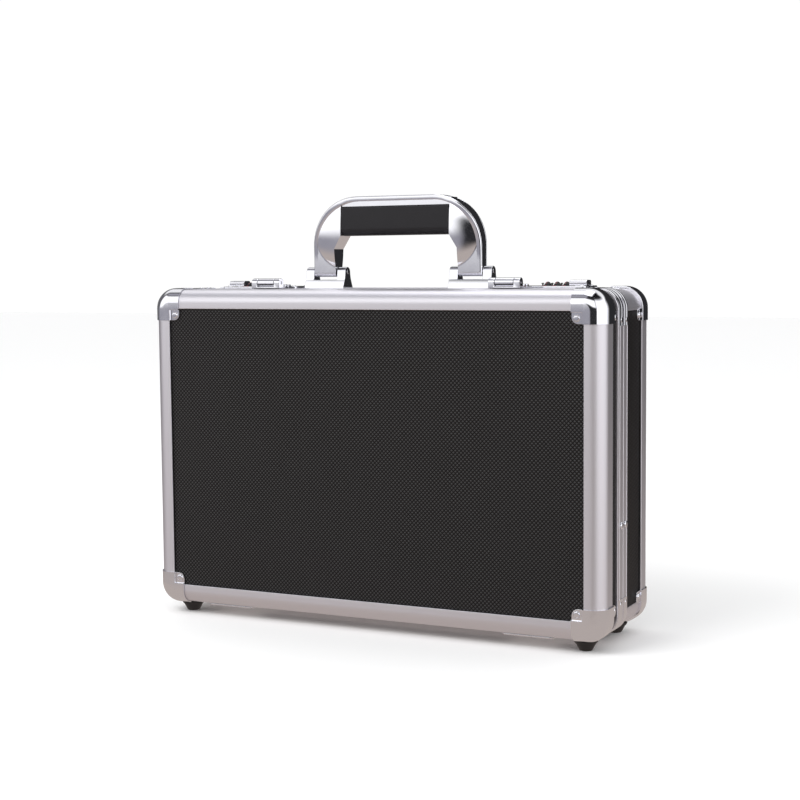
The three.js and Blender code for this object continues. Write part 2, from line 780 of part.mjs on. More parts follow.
function stayArm(shell, side) {
  const x = (inset) => side.x * (halfWidth - inset);
  const [y, z] = stayPivot(shell);
  const near = stayRest[shell.name];
  const far = near + stayArmMetal;
  const elbow = [0, ...stayElbow];
  let arm = prism('x', bar([y, z], stayElbow, stayArmWidth), x(near), x(far))
    .add(rod('x', stayRivetRadius, [0, y, z], x(near + gap), x(-2 * gap), rivetSteps))
    .add(rod('x', stayRivetHeadRadius, [0, y, z], x(-gap), x(-gap - stayRivetHead), rivetSteps));
  if (shell.name === 'base') {
    const head = far + gap + stayArmMetal + gap;
    arm = arm.add(rod('x', stayRivetRadius, elbow, x(far - gap), x(head + gap), rivetSteps));
    arm = arm.add(rod('x', stayRivetHeadRadius, elbow, x(head), x(head + stayElbowHead),
      rivetSteps));
  } else {
    arm = arm.subtract(rod('x', stayRivetRadius + gap, elbow, x(near - overcut),
      x(far + overcut), rivetSteps));
  }
  return arm;
}

// ---------------------------------------------------------------- assembly

const attacheCase = new THREE.Group();

function groupAt(parent, x, y, z) {
  const group = new THREE.Group();
  group.position.set(x, y, z);
  parent.add(group);
  return group;
}

const bodies = {
  lid: groupAt(attacheCase, 0, 0, 0),
  base: groupAt(attacheCase, 0, 0, 0),
};

for (const shell of shells) {
  const body = bodies[shell.name];
  const face = shell.name === 'lid' ? 'front' : 'rear';
  body.add(meshOf(`${face}_panel`, panel(shell), finishes.blackBoard));
  body.add(meshOf(`${shell.name}_wall_frame`, wallFrame(shell), finishes.blackBoard));
  body.add(meshOf(`${shell.name}_rim`, rim(shell), finishes.anodised));
  body.add(meshOf(`${shell.name}_lining`, lining(shell), finishes.lining));
  body.add(meshOf(`${shell.name}_edge_top`, levelEdge(shell, 1), finishes.anodised));
  body.add(meshOf(`${shell.name}_edge_bottom`, levelEdge(shell, -1), finishes.anodised));
  for (const side of sides) {
    const edge = uprightEdge(shell, side);
    const topCap = cornerCap(shell, side, 1);
    const bottomCap = cornerCap(shell, side, -1);
    body.add(meshOf(`${shell.name}_edge_${side.name}`, edge, finishes.anodised));
    body.add(meshOf(`${shell.name}_cap_top_${side.name}`, topCap, finishes.chrome));
    body.add(meshOf(`${shell.name}_cap_bottom_${side.name}`, bottomCap, finishes.chrome));

    const footPlace = meshOf(`${shell.name}_foot_${side.name}`, foot(), finishes.blackRubber);
    footPlace.position.set(side.x * (halfWidth - footFromSide), yAt(shell, footFromFace), 0);
    body.add(footPlace);

    const leaf = meshOf(`${shell.name}_hinge_leaf_${side.name}`, hingeLeaf(shell),
      finishes.chrome);
    leaf.position.set(side.x * hingeFromCentre, seamY, hingeZ);
    body.add(leaf);

    const arm = stayArm(shell, side);
    attacheCase.add(meshOf(`${shell.name}_stay_arm_${side.name}`, arm, finishes.chrome));
  }
}

const handle = groupAt(attacheCase, 0, bracketY, zTop + handlePinHeight);
handle.add(meshOf('handle_frame', handleFrame(), finishes.chrome));
handle.add(meshOf('handle_grip', handleGrip(), finishes.blackGrip));

for (const side of sides) {
  const hingePin = rod('x', hingePinRadius, [0, 0, 0], -hingeWidth / 2, hingeWidth / 2);
  const pinMesh = meshOf(`hinge_pin_${side.name}`, hingePin, finishes.chrome);
  pinMesh.position.set(side.x * hingeFromCentre, seamY, hingeZ);
  bodies.lid.add(pinMesh);

  const bracketX = (side.x * bracketSpacing) / 2;
  const bracketPlace = groupAt(bodies.base, bracketX, bracketY, zTop + handlePinHeight);
  bracketPlace.add(meshOf(`handle_bracket_${side.name}`, handleBracket(), finishes.chrome));
  bracketPlace.add(meshOf(`handle_pin_${side.name}`, handlePin(), finishes.chrome));

  const haspPlace = groupAt(bodies.lid, side.x * haspFromCentre, haspY, zTop + haspPinHeight);
  const haspPin = rod('x', haspPinRadius, [0, 0, 0], -haspWidth / 2, haspWidth / 2);
  haspPlace.add(meshOf(`hasp_base_${side.name}`, haspBase(), finishes.chrome));
  haspPlace.add(meshOf(`hasp_pin_${side.name}`, haspPin, finishes.chrome));
  haspPlace.add(meshOf(`hasp_${side.name}`, hasp(), finishes.chrome));

  bodies.base.add(meshOf(`lock_body_${side.name}`, lockBody(side), finishes.chrome));
  bodies.base.add(meshOf(`lock_button_${side.name}`, releaseButton(side), finishes.chrome));
  for (let i = 0; i < 3; i += 1) {
    const wheel = meshOf(`dial_${side.name}_${i + 1}`, dial(), finishes.dial);
    wheel.position.set(side.x * (firstDial + i * dialPitch), lockY, dialZ);
    bodies.base.add(wheel);
  }
}

export default attacheCase;
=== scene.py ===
# %% [markdown]
# # An aluminium attache case
#
# The case is two hinged shells of black embossed board, held in aluminium edge and rim
# profiles. Chromed caps close its corners, two combination latches hold it shut, and a
# chromed handle with a black grip stands on top.
#
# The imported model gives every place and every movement. This lesson makes the surfaces:
# it reads sizes from that frame, builds each piece with bmesh operators, and lets each one
# ride on the body it belongs to.

import json
import math

import bmesh
import bpy
from mathutils import Matrix, Vector

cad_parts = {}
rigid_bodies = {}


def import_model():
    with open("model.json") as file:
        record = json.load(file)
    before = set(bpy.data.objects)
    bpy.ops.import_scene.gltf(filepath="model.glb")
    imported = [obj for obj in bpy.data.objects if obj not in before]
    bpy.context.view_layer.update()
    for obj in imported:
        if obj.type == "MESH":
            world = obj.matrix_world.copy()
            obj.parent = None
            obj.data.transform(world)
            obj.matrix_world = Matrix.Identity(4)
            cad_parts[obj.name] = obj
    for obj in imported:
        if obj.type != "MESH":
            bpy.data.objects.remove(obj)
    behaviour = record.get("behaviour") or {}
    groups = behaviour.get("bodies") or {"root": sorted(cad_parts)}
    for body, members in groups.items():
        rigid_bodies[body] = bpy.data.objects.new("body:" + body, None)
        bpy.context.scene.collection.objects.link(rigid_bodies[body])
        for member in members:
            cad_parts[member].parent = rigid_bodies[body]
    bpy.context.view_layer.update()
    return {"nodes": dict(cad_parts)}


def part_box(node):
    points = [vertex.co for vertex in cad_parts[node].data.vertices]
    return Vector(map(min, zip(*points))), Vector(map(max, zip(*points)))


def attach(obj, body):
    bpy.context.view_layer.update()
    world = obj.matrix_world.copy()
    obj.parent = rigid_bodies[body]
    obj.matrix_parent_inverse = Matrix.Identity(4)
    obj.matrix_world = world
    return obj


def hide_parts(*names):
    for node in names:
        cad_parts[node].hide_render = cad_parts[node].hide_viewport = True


for start_up_object in list(bpy.data.objects):
    bpy.data.objects.remove(start_up_object)
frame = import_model()
scene = bpy.context.scene

# %% [markdown]
# ## Sizes
#
# Blender works in metres, so a millimetre has a name of its own. The case's outline, the
# widths of its profiles and the depths of its two shells all come from the frame's boxes.
# Only the small things that the frame doesn't hold are given here in millimetres. `clear` is
# the gap between parts that move or lie side by side, and `touch` is the distance below
# which two points are one.

# %% Sizes read from the frame
mm = 0.001
rim_low, rim_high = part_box("lid_rim")
edge_low, edge_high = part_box("lid_edge_top")
cap_low, cap_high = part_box("lid_cap_top_right")
half_width = rim_high.x
z_bottom = rim_low.z
z_top = rim_high.z
flange = edge_high.z - edge_low.z
side_flange = edge_high.y - edge_low.y
board_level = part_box("front_panel")[0].y - edge_low.y
cap_proud = cap_high.x - half_width
cap_leg = half_width - cap_low.x
corner = 18 * mm
edge_radius = 12.5 * mm
edge_metal = 1.6 * mm
cap_metal = 0.9 * mm
board_metal = 4 * mm
clear = 0.3 * mm
touch = 0.02 * mm
lock_plate_depth = 33 * mm
SIDES = {"left": -1, "right": 1}
LEVELS = {"bottom": -1, "top": 1}
SHELLS = {
    "lid": {"face": edge_low.y, "into": 1, "panel": "front_panel"},
    "base": {"face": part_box("base_edge_top")[1].y, "into": -1, "panel": "rear_panel"},
}
for shell, facts in SHELLS.items():
    for part in ("rim", "wall_frame"):
        low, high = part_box(f"{shell}_{part}")
        facts[part] = sorted(abs(y - facts["face"]) for y in (low.y, high.y))
print("case", 2 * half_width / mm, "x", (z_top - z_bottom) / mm, "mm")

# %% [markdown]
# ## The camera
#
# The case is seen from a little to its right and just above its top, with a long lens, so
# the front is almost square on and the right-hand end is a narrow band. The direction is
# given as a turn, a dip and a small roll, which are turned into the camera's own axes.

# %% Camera
view_turn = math.radians(26.635)
view_dip = math.radians(4.81)
view_roll = math.radians(0.4986)
lens_mm = 73.27
eye = Vector((676.6, -1338.65, 332.65)) * mm

forward = Vector((-math.sin(view_turn) * math.cos(view_dip),
                  math.cos(view_turn) * math.cos(view_dip), -math.sin(view_dip)))
level_right = Vector((math.cos(view_turn), math.sin(view_turn), 0))
level_down = forward.cross(level_right)
right = level_right * math.cos(view_roll) + level_down * math.sin(view_roll)
down = level_down * math.cos(view_roll) - level_right * math.sin(view_roll)
camera_data = bpy.data.cameras.new("camera")
camera_data.lens = lens_mm
camera_data.sensor_width = 36
camera = bpy.data.objects.new("camera", camera_data)
camera_axes = Matrix((right, -down, -forward)).transposed().to_4x4()
camera.matrix_world = Matrix.Translation(eye) @ camera_axes
scene.collection.objects.link(camera)
scene.camera = camera
scene.view_settings.view_transform = "Standard"
print("camera at", [round(c, 3) for c in eye])

# %% [markdown]
# ## Two helpers for materials
#
# Every colour is written as the hex value a designer would pick, and one function turns it
# to linear light. One more function adds a shader node, sets its sockets or properties and
# links its inputs, which keeps each material short.

# %% Material helpers
def colour(hex_value):
    """An sRGB hex colour as the linear RGBA that shaders use."""
    channels = [int(hex_value[i:i + 2], 16) / 255 for i in (1, 3, 5)]
    linear = [c / 12.92 if c <= 0.04045 else ((c + 0.055) / 1.055) ** 2.4 for c in channels]
    return (*linear, 1)


def add(tree, kind, links=None, **settings):
    """Adds a node. A setting is a socket's value or a property; a link is socket: output."""
    made = tree.nodes.new(kind)
    for name, value in settings.items():
        socket = int(name[1:]) if name[1:].isdigit() else name.replace("_", " ")
        if isinstance(socket, int) or socket in made.inputs:
            made.inputs[socket].default_value = value
        else:
            setattr(made, name, value)
    for name, output in (links or {}).items():
        tree.links.new(output, made.inputs[name])
    return made


def finish_material(name, slot_name, **settings):
    """A material with one Principled shader. Returns it, its tree and the shader."""
    material = bpy.data.materials.new(name)
    material.use_nodes = True
    material["slot"] = slot_name
    tree = material.node_tree
    shader = tree.nodes["Principled BSDF"]
    for key, value in settings.items():
        shader.inputs[key.replace("_", " ")].default_value = value
    return material, tree, shader


# %% [markdown]
# ## Anodised aluminium
#
# The edge and rim profiles are extruded and then satin anodised. Extruding leaves faint
# lines along the bar, and the etch before anodising leaves a fine even grain. The lines are
# a noise that is stretched along the bar: it changes fast across it, about every half
# millimetre, and slowly along it. A bar along X and a bar along Z need it turned, so the
# material is made once for each direction.

# %% Anodised aluminium
def anodised_aluminium(name, lines_per_metre):
    """lines_per_metre says, for x, y and z, how often the drawn lines change."""
    material, tree, shader = finish_material(
        name, "anodised_aluminium", Base_Color=colour("#f0eef4"), Metallic=1, Roughness=0.4)
    place = add(tree, "ShaderNodeTexCoord").outputs["Object"]
    stretched = add(tree, "ShaderNodeMapping", {"Vector": place}, Scale=lines_per_metre)
    lines = add(tree, "ShaderNodeTexNoise", {"Vector": stretched.outputs[0]},
                Scale=1, Detail=4, Roughness=0.6)
    grain = add(tree, "ShaderNodeTexNoise", {"Vector": place}, Scale=3500, Detail=2)
    rough = add(tree, "ShaderNodeMapRange", {"Value": lines.outputs[0]},
                From_Min=0.25, From_Max=0.75, To_Min=0.37, To_Max=0.46)
    tree.links.new(rough.outputs[0], shader.inputs["Roughness"])
    mixed = add(tree, "ShaderNodeMath", {0: lines.outputs[0], 1: grain.outputs[0]},
                operation="ADD")
    bump = add(tree, "ShaderNodeBump", {"Height": mixed.outputs[0]},
               Strength=0.12, Distance=0.03 * mm)
    tree.links.new(bump.outputs[0], shader.inputs["Normal"])
    return material


ALUMINIUM_ALONG_X = anodised_aluminium("anodised_aluminium_level", (6, 1600, 1600))
ALUMINIUM_ALONG_Z = anodised_aluminium("anodised_aluminium_upright", (1600, 1600, 6))
ALUMINIUM_ROUND = anodised_aluminium("anodised_aluminium_rim", (6, 1600, 6))
print("aluminium made")

# %% [markdown]
# ## Bright chrome
#
# Caps, handle, hinges and latches are plated: a mirror with a very slight unevenness from
# the pressed or cast metal under it, and a haze of fine wiping scratches. A metal keeps the
# default IOR, so only its colour and roughness are set.

# %% Bright chrome
def bright_chrome(name, slot_name, ripple_mm):
    material, tree, shader = finish_material(
        name, slot_name, Base_Color=colour("#f3f3f8"), Metallic=1, Roughness=0.07)
    place = add(tree, "ShaderNodeTexCoord").outputs["Object"]
    haze = add(tree, "ShaderNodeTexNoise", {"Vector": place}, Scale=140, Detail=6,
               Roughness=0.7)
    rough = add(tree, "ShaderNodeMapRange", {"Value": haze.outputs[0]},
                From_Min=0.3, From_Max=0.8, To_Min=0.05, To_Max=0.15)
    tree.links.new(rough.outputs[0], shader.inputs["Roughness"])
    ripple = add(tree, "ShaderNodeTexNoise", {"Vector": place}, Scale=1 / (ripple_mm * mm),
                 Detail=1)
    bump = add(tree, "ShaderNodeBump", {"Height": ripple.outputs[0]},
               Strength=0.3, Distance=0.04 * mm)
    tree.links.new(bump.outputs[0], shader.inputs["Normal"])
    return material


PRESSED_CHROME = bright_chrome("bright_chrome_on_pressed_steel", "chromed_steel", 9)
CAST_CHROME = bright_chrome("bright_chrome_on_cast_zinc", "chromed_zinc", 14)
print("chrome made")

# %% [markdown]
# ## Embossed black sheet
#
# The boards are faced with black ABS sheet, embossed all over with small diamonds, 2.6 mm
# from one to the next. On the two big panels the diamonds are real shapes, made further
# down. On the narrow walls the same diamonds are a bump. ABS is semi-matt, and its colour
# is not quite even: a slow noise varies it by a few per cent.

# %% Embossed black sheet
diamond_pitch = 2.6 * mm
emboss_height = 0.42 * mm
panel_face = abs(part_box("front_panel")[0].y)


def embossed_sheet(name, bumped):
    material, tree, shader = finish_material(
        name, "embossed_black_abs", Roughness=0.42, Specular_IOR_Level=0.25)
    place = add(tree, "ShaderNodeTexCoord").outputs["Object"]
    cloud = add(tree, "ShaderNodeTexNoise", {"Vector": place}, Scale=25, Detail=3)
    tint = add(tree, "ShaderNodeMix", {0: cloud.outputs[0]}, data_type="RGBA",
               _6=colour("#060405"), _7=colour("#0c090b"))
    tree.links.new(tint.outputs[2], shader.inputs["Base Color"])
    if bumped:
        # Waves along the two diagonals cross in a field of diamonds. A wall runs along X or
        # along Z, and the sum of the two serves for both.
        parts = add(tree, "ShaderNodeSeparateXYZ", {0: place})
        along = add(tree, "ShaderNodeMath", {0: parts.outputs[0], 1: parts.outputs[2]},
                    operation="ADD").outputs[0]
        turns_per_metre = 2 * math.pi / (diamond_pitch * math.sqrt(2))
        waves = []
        for direction in ("ADD", "SUBTRACT"):
            diagonal = add(tree, "ShaderNodeMath", {0: along, 1: parts.outputs[1]},
                           operation=direction)
            turn = add(tree, "ShaderNodeMath", {0: diagonal.outputs[0]},
                       operation="MULTIPLY", _1=turns_per_metre)
            waves.append(add(tree, "ShaderNodeMath", {0: turn.outputs[0]},
                             operation="COSINE").outputs[0])
        height = add(tree, "ShaderNodeMath", {0: waves[0], 1: waves[1]},
                     operation="ADD").outputs[0]
        depth_mm = 0.12
    else:
        # The points of the diamonds are glossier than the valleys, and the valleys reflect almost
        # nothing: painted shade in the hollows between the diamonds.
        where = add(tree, "ShaderNodeSeparateXYZ", {0: place})
        depth = add(tree, "ShaderNodeMath", {0: where.outputs[1]}, operation="ABSOLUTE")
        for socket, valley, point in (("Specular IOR Level", 0.05, 0.8),
                                      ("Roughness", 0.6, 0.28)):
            gloss_and_painted_shade = add(tree, "ShaderNodeMapRange", {"Value": depth.outputs[0]},
                         From_Min=panel_face - emboss_height,
                         From_Max=panel_face - 0.45 * emboss_height,
                         To_Min=valley, To_Max=point)
            tree.links.new(gloss_and_painted_shade.outputs[0], shader.inputs[socket])
        height = add(tree, "ShaderNodeTexNoise", {"Vector": place}, Scale=4000,
                     Detail=2).outputs[0]
        depth_mm = 0.01
    bump = add(tree, "ShaderNodeBump", {"Height": height}, Strength=0.6,
               Distance=depth_mm * mm)
    tree.links.new(bump.outputs[0], shader.inputs["Normal"])
    return material


PANEL_SHEET = embossed_sheet("embossed_black_abs_panel", bumped=False)
WALL_SHEET = embossed_sheet("embossed_black_abs_wall", bumped=True)
print("sheet made")

# %% [markdown]
# ## Grip, rubber, lining and dials
#
# The grip is soft moulded vinyl with a fine leather grain: cells about a millimetre across.
# The feet are matt rubber. The lining is a short-pile cloth, so it has a sheen and a dense
# fine noise. The dials are moulded in glossy black plastic with red figures.

# %% Soft and moulded finishes
def grained(name, slot_name, dark, light, cell_mm, rough, depth_mm, **settings):
    """A moulded or woven finish: two near shades and a bump of cells of one size."""
    material, tree, shader = finish_material(name, slot_name, Roughness=rough, **settings)
    place = add(tree, "ShaderNodeTexCoord").outputs["Object"]
    cells = add(tree, "ShaderNodeTexVoronoi", {"Vector": place}, Scale=1 / (cell_mm * mm))
    cloud = add(tree, "ShaderNodeTexNoise", {"Vector": place}, Scale=90, Detail=4)
    tint = add(tree, "ShaderNodeMix", {0: cloud.outputs[0]}, data_type="RGBA",
               _6=colour(dark), _7=colour(light))
    tree.links.new(tint.outputs[2], shader.inputs["Base Color"])
    bump = add(tree, "ShaderNodeBump", {"Height": cells.outputs[0]}, Strength=0.7,
               Distance=depth_mm * mm)
    tree.links.new(bump.outputs[0], shader.inputs["Normal"])
    return material


GRIP_VINYL = grained("moulded_black_vinyl", "black_grip", "#0f0e12", "#17151a",
                     1.1, 0.5, 0.05)
FOOT_RUBBER = grained("moulded_black_rubber", "black_rubber", "#0f0c0d", "#1b1617",
                      0.5, 0.5, 0.03)
LINING_CLOTH = grained("grey_lining_cloth", "grey_lining", "#3a3b40", "#4a4b52",
                       0.45, 0.95, 0.08, Sheen_Weight=0.4)
DIAL_PLASTIC = grained("moulded_black_dial", "black_dial", "#0d0a0b", "#161112",
                       0.8, 0.22, 0.004)
DIAL_RED = grained("red_dial_paint", "black_dial", "#a3122c", "#c01c38", 0.4, 0.4, 0.01)
print("soft finishes made")

# %% [markdown]
# ## Helpers for shapes
#
# Most pieces here start as a flat outline that is drawn out, as sheet metal and extrusions
# really are. An outline is a few corner points; a corner is rounded by bevelling its vertex.
# A finished bmesh becomes an object that rides on a body and stands for a CAD node.

# %% Shape helpers
def outline(points, rounded=()):
    """One flat face in the XY plane. rounded lists (corner index, radius, segments)."""
    bm = bmesh.new()
    corners = [bm.verts.new((x, y, 0)) for x, y in points]
    bm.faces.new(corners)
    for index, radius, segments in rounded:
        bmesh.ops.bevel(bm, geom=[corners[index]], offset=radius, segments=segments,
                        profile=0.5, affect="VERTICES", material=-1)
    return bm


def draw_out(bm, faces, vector):
    """Extrudes faces along a vector and returns the faces at the far end."""
    made = bmesh.ops.extrude_face_region(bm, geom=faces)["geom"]
    moved = [e for e in made if isinstance(e, bmesh.types.BMVert)]
    bmesh.ops.translate(bm, verts=moved, vec=vector)
    return [e for e in made if isinstance(e, bmesh.types.BMFace)]


def tidy(bm, near=touch):
    """Merges doubles, takes away faces left inside and turns every face outwards."""
    bmesh.ops.remove_doubles(bm, verts=bm.verts[:], dist=near)
    bmesh.ops.dissolve_degenerate(bm, edges=bm.edges[:], dist=near)
    inside = [f for f in bm.faces if all(len(e.link_faces) > 2 for e in f.edges)]
    bmesh.ops.delete(bm, geom=inside, context="FACES_ONLY")
    bmesh.ops.recalc_face_normals(bm, faces=bm.faces[:])
    return bm


def bar(points, rounded, length):
    """A closed bar: the outline drawn out along +Z."""
    bm = outline(points, rounded)
    draw_out(bm, bm.faces[:], (0, 0, length))
    return tidy(bm)


def block(low, high):
    """A block between two opposite corners."""
    size = Vector(high) - Vector(low)
    bm = bmesh.new()
    bmesh.ops.create_cube(bm, size=1)
    bmesh.ops.scale(bm, verts=bm.verts[:], vec=size)
    bmesh.ops.translate(bm, verts=bm.verts[:], vec=Vector(low) + size / 2)
    return bm


def soften(bm, width, segments=2, angle=40, where=lambda edge: True):
    """Rounds every edge that is sharper than an angle."""
    sharp = [e for e in bm.edges if e.is_manifold and where(e)
             and e.calc_face_angle() > math.radians(angle)]
    bmesh.ops.bevel(bm, geom=sharp, offset=width, segments=segments, profile=0.5,
                    affect="EDGES", material=-1, clamp_overlap=True)
    return bm


def turned(points, rounded=(), steps=32):
    """Spins a half section round Z. Its points are (radius, height); it ends on the axis."""
    bm = outline(points, rounded)
    bmesh.ops.delete(bm, geom=bm.faces[:], context="FACES_ONLY")
    on_axis = [e for e in bm.edges if all(abs(v.co.x) < touch for v in e.verts)]
    bmesh.ops.delete(bm, geom=on_axis, context="EDGES")
    bmesh.ops.rotate(bm, verts=bm.verts[:], matrix=Matrix.Rotation(math.pi / 2, 3, "X"))
    bmesh.ops.spin(bm, geom=bm.verts[:] + bm.edges[:], axis=(0, 0, 1), cent=(0, 0, 0),
                   angle=2 * math.pi, steps=steps, use_merge=True)
    return tidy(bm)


def rod(radius, length, soft=0.2 * mm, steps=32):
    """A round rod along +Z with softened ends."""
    return turned([(0, 0), (radius, 0), (radius, length), (0, length)],
                  [(1, soft, 2), (2, soft, 2)], steps)


def dome(radius, height, sink=0.5 * mm):
    """A rivet's head, with its flat side a little below the XY plane."""
    return turned([(0, -sink), (radius, -sink), (radius, height), (0, height)],
                  [(2, min(radius, height) * 0.98, 6)], 28)


def axes(origin, x, y, z):
    """The matrix that takes the XYZ of a drawing to three directions from an origin."""
    matrix = Matrix((x, y, z)).transposed().to_4x4()
    matrix.translation = Vector(origin)
    return matrix


def placed(bm, matrix):
    """Moves a bmesh by a matrix, with its faces still turned outwards."""
    bmesh.ops.transform(bm, matrix=matrix, verts=bm.verts[:])
    bmesh.ops.recalc_face_normals(bm, faces=bm.faces[:])
    return bm


def shift(bm, *vector):
    """Moves a bmesh along X, Y and Z."""
    bmesh.ops.translate(bm, verts=bm.verts[:], vec=vector)
    return bm


def solid_object(bm):
    """A closed bmesh as an object that a boolean can work on."""
    mesh = bpy.data.meshes.new("working")
    bm.to_mesh(mesh)
    bm.free()
    working = bpy.data.objects.new("working", mesh)
    scene.collection.objects.link(working)
    return working


def combine(operation, first, *others):
    """The exact boolean of closed bmeshes, as a new bmesh."""
    working = [solid_object(bm) for bm in (first, *others)]
    for other in working[1:]:
        modifier = working[0].modifiers.new("boolean", "BOOLEAN")
        modifier.operation = operation
        modifier.solver = "EXACT"
        modifier.object = other
    result = working[0].evaluated_get(bpy.context.evaluated_depsgraph_get())
    made = bmesh.new()
    made.from_mesh(result.to_mesh())
    result.to_mesh_clear()
    for each in working:
        bpy.data.objects.remove(each)
    return tidy(made, near=touch / 20)


def gather(parts):
    """Puts separate shapes into one bmesh."""
    gathered = bmesh.new()
    for part in parts:
        mesh = bpy.data.meshes.new("working")
        part.to_mesh(mesh)
        part.free()
        gathered.from_mesh(mesh)
        bpy.data.meshes.remove(mesh)
    return gathered


def make_piece(name, bm, body, material, *replaced, smooth_angle=35):
    """Turns a bmesh into a piece that rides on a body and stands for CAD nodes."""
    mesh = bpy.data.meshes.new(name)
    bm.to_mesh(mesh)
    bm.free()
    mesh.shade_smooth()
    mesh.set_sharp_from_angle(angle=math.radians(smooth_angle))
    mesh.materials.append(material)
    piece = bpy.data.objects.new(name, mesh)
    scene.collection.objects.link(piece)
    flat_kept = piece.modifiers.new("flat_faces_kept_flat", "WEIGHTED_NORMAL")
    flat_kept.keep_sharp = True
    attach(piece, body)
    if replaced:
        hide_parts(*replaced)
    return piece


# %% [markdown]
# ## Panels
#
# Each panel is a sheet of small diamonds. A grid of squares is turned by 45 degrees, cut to
# the panel's edges with four planes, and poked: poking puts a raised point in the middle of
# every face, which is exactly what the embossing roller does. The sheet's edge is then drawn
# back to the board's rear face and closed.

# %% Panels
def embossed_panel(shell):
    low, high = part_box(SHELLS[shell]["panel"])
    into = SHELLS[shell]["into"]
    outer = low.y if into > 0 else high.y
    wide, tall = high.x - low.x, high.z - low.z
    cells = math.ceil((wide + tall) / math.sqrt(2) / diamond_pitch)
    bm = bmesh.new()
    bmesh.ops.create_grid(bm, x_segments=cells, y_segments=cells,
                          size=cells * diamond_pitch / 2)
    bmesh.ops.rotate(bm, verts=bm.verts[:], matrix=Matrix.Rotation(math.pi / 4, 3, "Z"))
    for direction, reach in (((1, 0, 0), wide), ((-1, 0, 0), wide),
                             ((0, 1, 0), tall), ((0, -1, 0), tall)):
        bmesh.ops.bisect_plane(bm, geom=bm.verts[:] + bm.edges[:] + bm.faces[:],
                               plane_co=Vector(direction) * reach / 2, plane_no=direction,
                               clear_outer=True)
    drawn = bmesh.ops.extrude_edge_only(bm, edges=[e for e in bm.edges if e.is_boundary])
    behind = [e for e in drawn["geom"] if isinstance(e, bmesh.types.BMVert)]
    bmesh.ops.translate(bm, verts=behind, vec=(0, 0, low.y - high.y + emboss_height))
    front = [f for f in bm.faces if abs(f.normal.z) > 0.9]
    bmesh.ops.poke(bm, faces=front, offset=emboss_height)
    bmesh.ops.edgeloop_fill(bm, edges=[e for e in bm.edges if e.is_boundary])
    middle = ((low.x + high.x) / 2, outer + into * emboss_height, (low.z + high.z) / 2)
    node = SHELLS[shell]["panel"]
    placed(bm, axes(middle, (into, 0, 0), (0, 0, 1), (0, -into, 0)))
    piece = make_piece(f"{node}_embossed", bm, shell, PANEL_SHEET, node, smooth_angle=1)
    print(node, "faces:", len(piece.data.polygons))


for shell in SHELLS:
    embossed_panel(shell)

# %% [markdown]
# ## Edge profiles
#
# The profile that wraps a panel's edge is an L with a large outer radius. Its outline is
# drawn once in (inset, depth), its two corners are rounded with the same centre so that the
# metal stays even, and it is drawn out to the length of each bar.

# %% Edge profiles
def edge_bar(length):
    inner_radius = edge_radius - edge_metal
    points = [(0, 0), (flange, 0), (flange, edge_metal), (edge_metal, edge_metal),
              (edge_metal, side_flange), (0, side_flange)]
    tip = 0.5 * mm
    rounded = [(0, edge_radius, 14), (3, inner_radius, 14), (1, tip, 3), (2, tip, 3),
               (4, tip, 3), (5, tip, 3)]
    return bar(points, rounded, length)


for shell, facts in SHELLS.items():
    depth = Vector((0, facts["into"], 0))
    for level, up in LEVELS.items():
        node = f"{shell}_edge_{level}"
        low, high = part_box(node)
        start = (low.x, facts["face"], z_top if up > 0 else z_bottom)
        bm = placed(edge_bar(high.x - low.x), axes(start, (0, 0, -up), depth, (1, 0, 0)))
        make_piece(f"{node}_profile", bm, shell, ALUMINIUM_ALONG_X, node)
    for side, out in SIDES.items():
        node = f"{shell}_edge_{side}"
        low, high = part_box(node)
        start = (out * half_width, facts["face"], low.z)
        bm = placed(edge_bar(high.z - low.z), axes(start, (-out, 0, 0), depth, (0, 0, 1)))
        make_piece(f"{node}_profile", bm, shell, ALUMINIUM_ALONG_Z, node)
print("edge profiles made")

# %% [markdown]
# ## Walls and rims
#
# The walls and the rims run round the whole case and turn with its rounded corners. Their
# section is drawn out along one side, spun through a quarter turn at the corner, and so on
# for all four sides. The first and last faces then meet and are taken away, so the band is
# closed. The base's wall is opened under each lock, and each rim has a fine groove.

# %% Walls and rims
corner_steps = 14


def turn_corner(bm, faces, centre, quarter):
    """Spins the end faces of a drawn section about an axis along Y."""
    spun = bmesh.ops.spin(bm, geom=faces, cent=centre, axis=(0, 1, 0), angle=quarter,
                          steps=corner_steps)["geom_last"]
    return [e for e in spun if isinstance(e, bmesh.types.BMFace)]


def band_round(points, rounded, shell):
    """Carries a section of (inset, depth) points round the case."""
    bm = outline(points, rounded)
    start = (corner - half_width, SHELLS[shell]["face"], z_top)
    placed(bm, axes(start, (0, 0, -1), (0, SHELLS[shell]["into"], 0), (1, 0, 0)))
    first = last = bm.faces[:]
    x, high, low = half_width - corner, z_top - corner, z_bottom + corner
    for run, centre in (((2 * x, 0, 0), (x, 0, high)), ((0, 0, low - high), (x, 0, low)),
                        ((-2 * x, 0, 0), (-x, 0, low)), ((0, 0, high - low), (-x, 0, high))):
        last = turn_corner(bm, draw_out(bm, last, run), centre, math.pi / 2)
    bmesh.ops.delete(bm, geom=[f for f in {*first, *last} if f.is_valid],
                     context="FACES_ONLY")
    return tidy(bm)


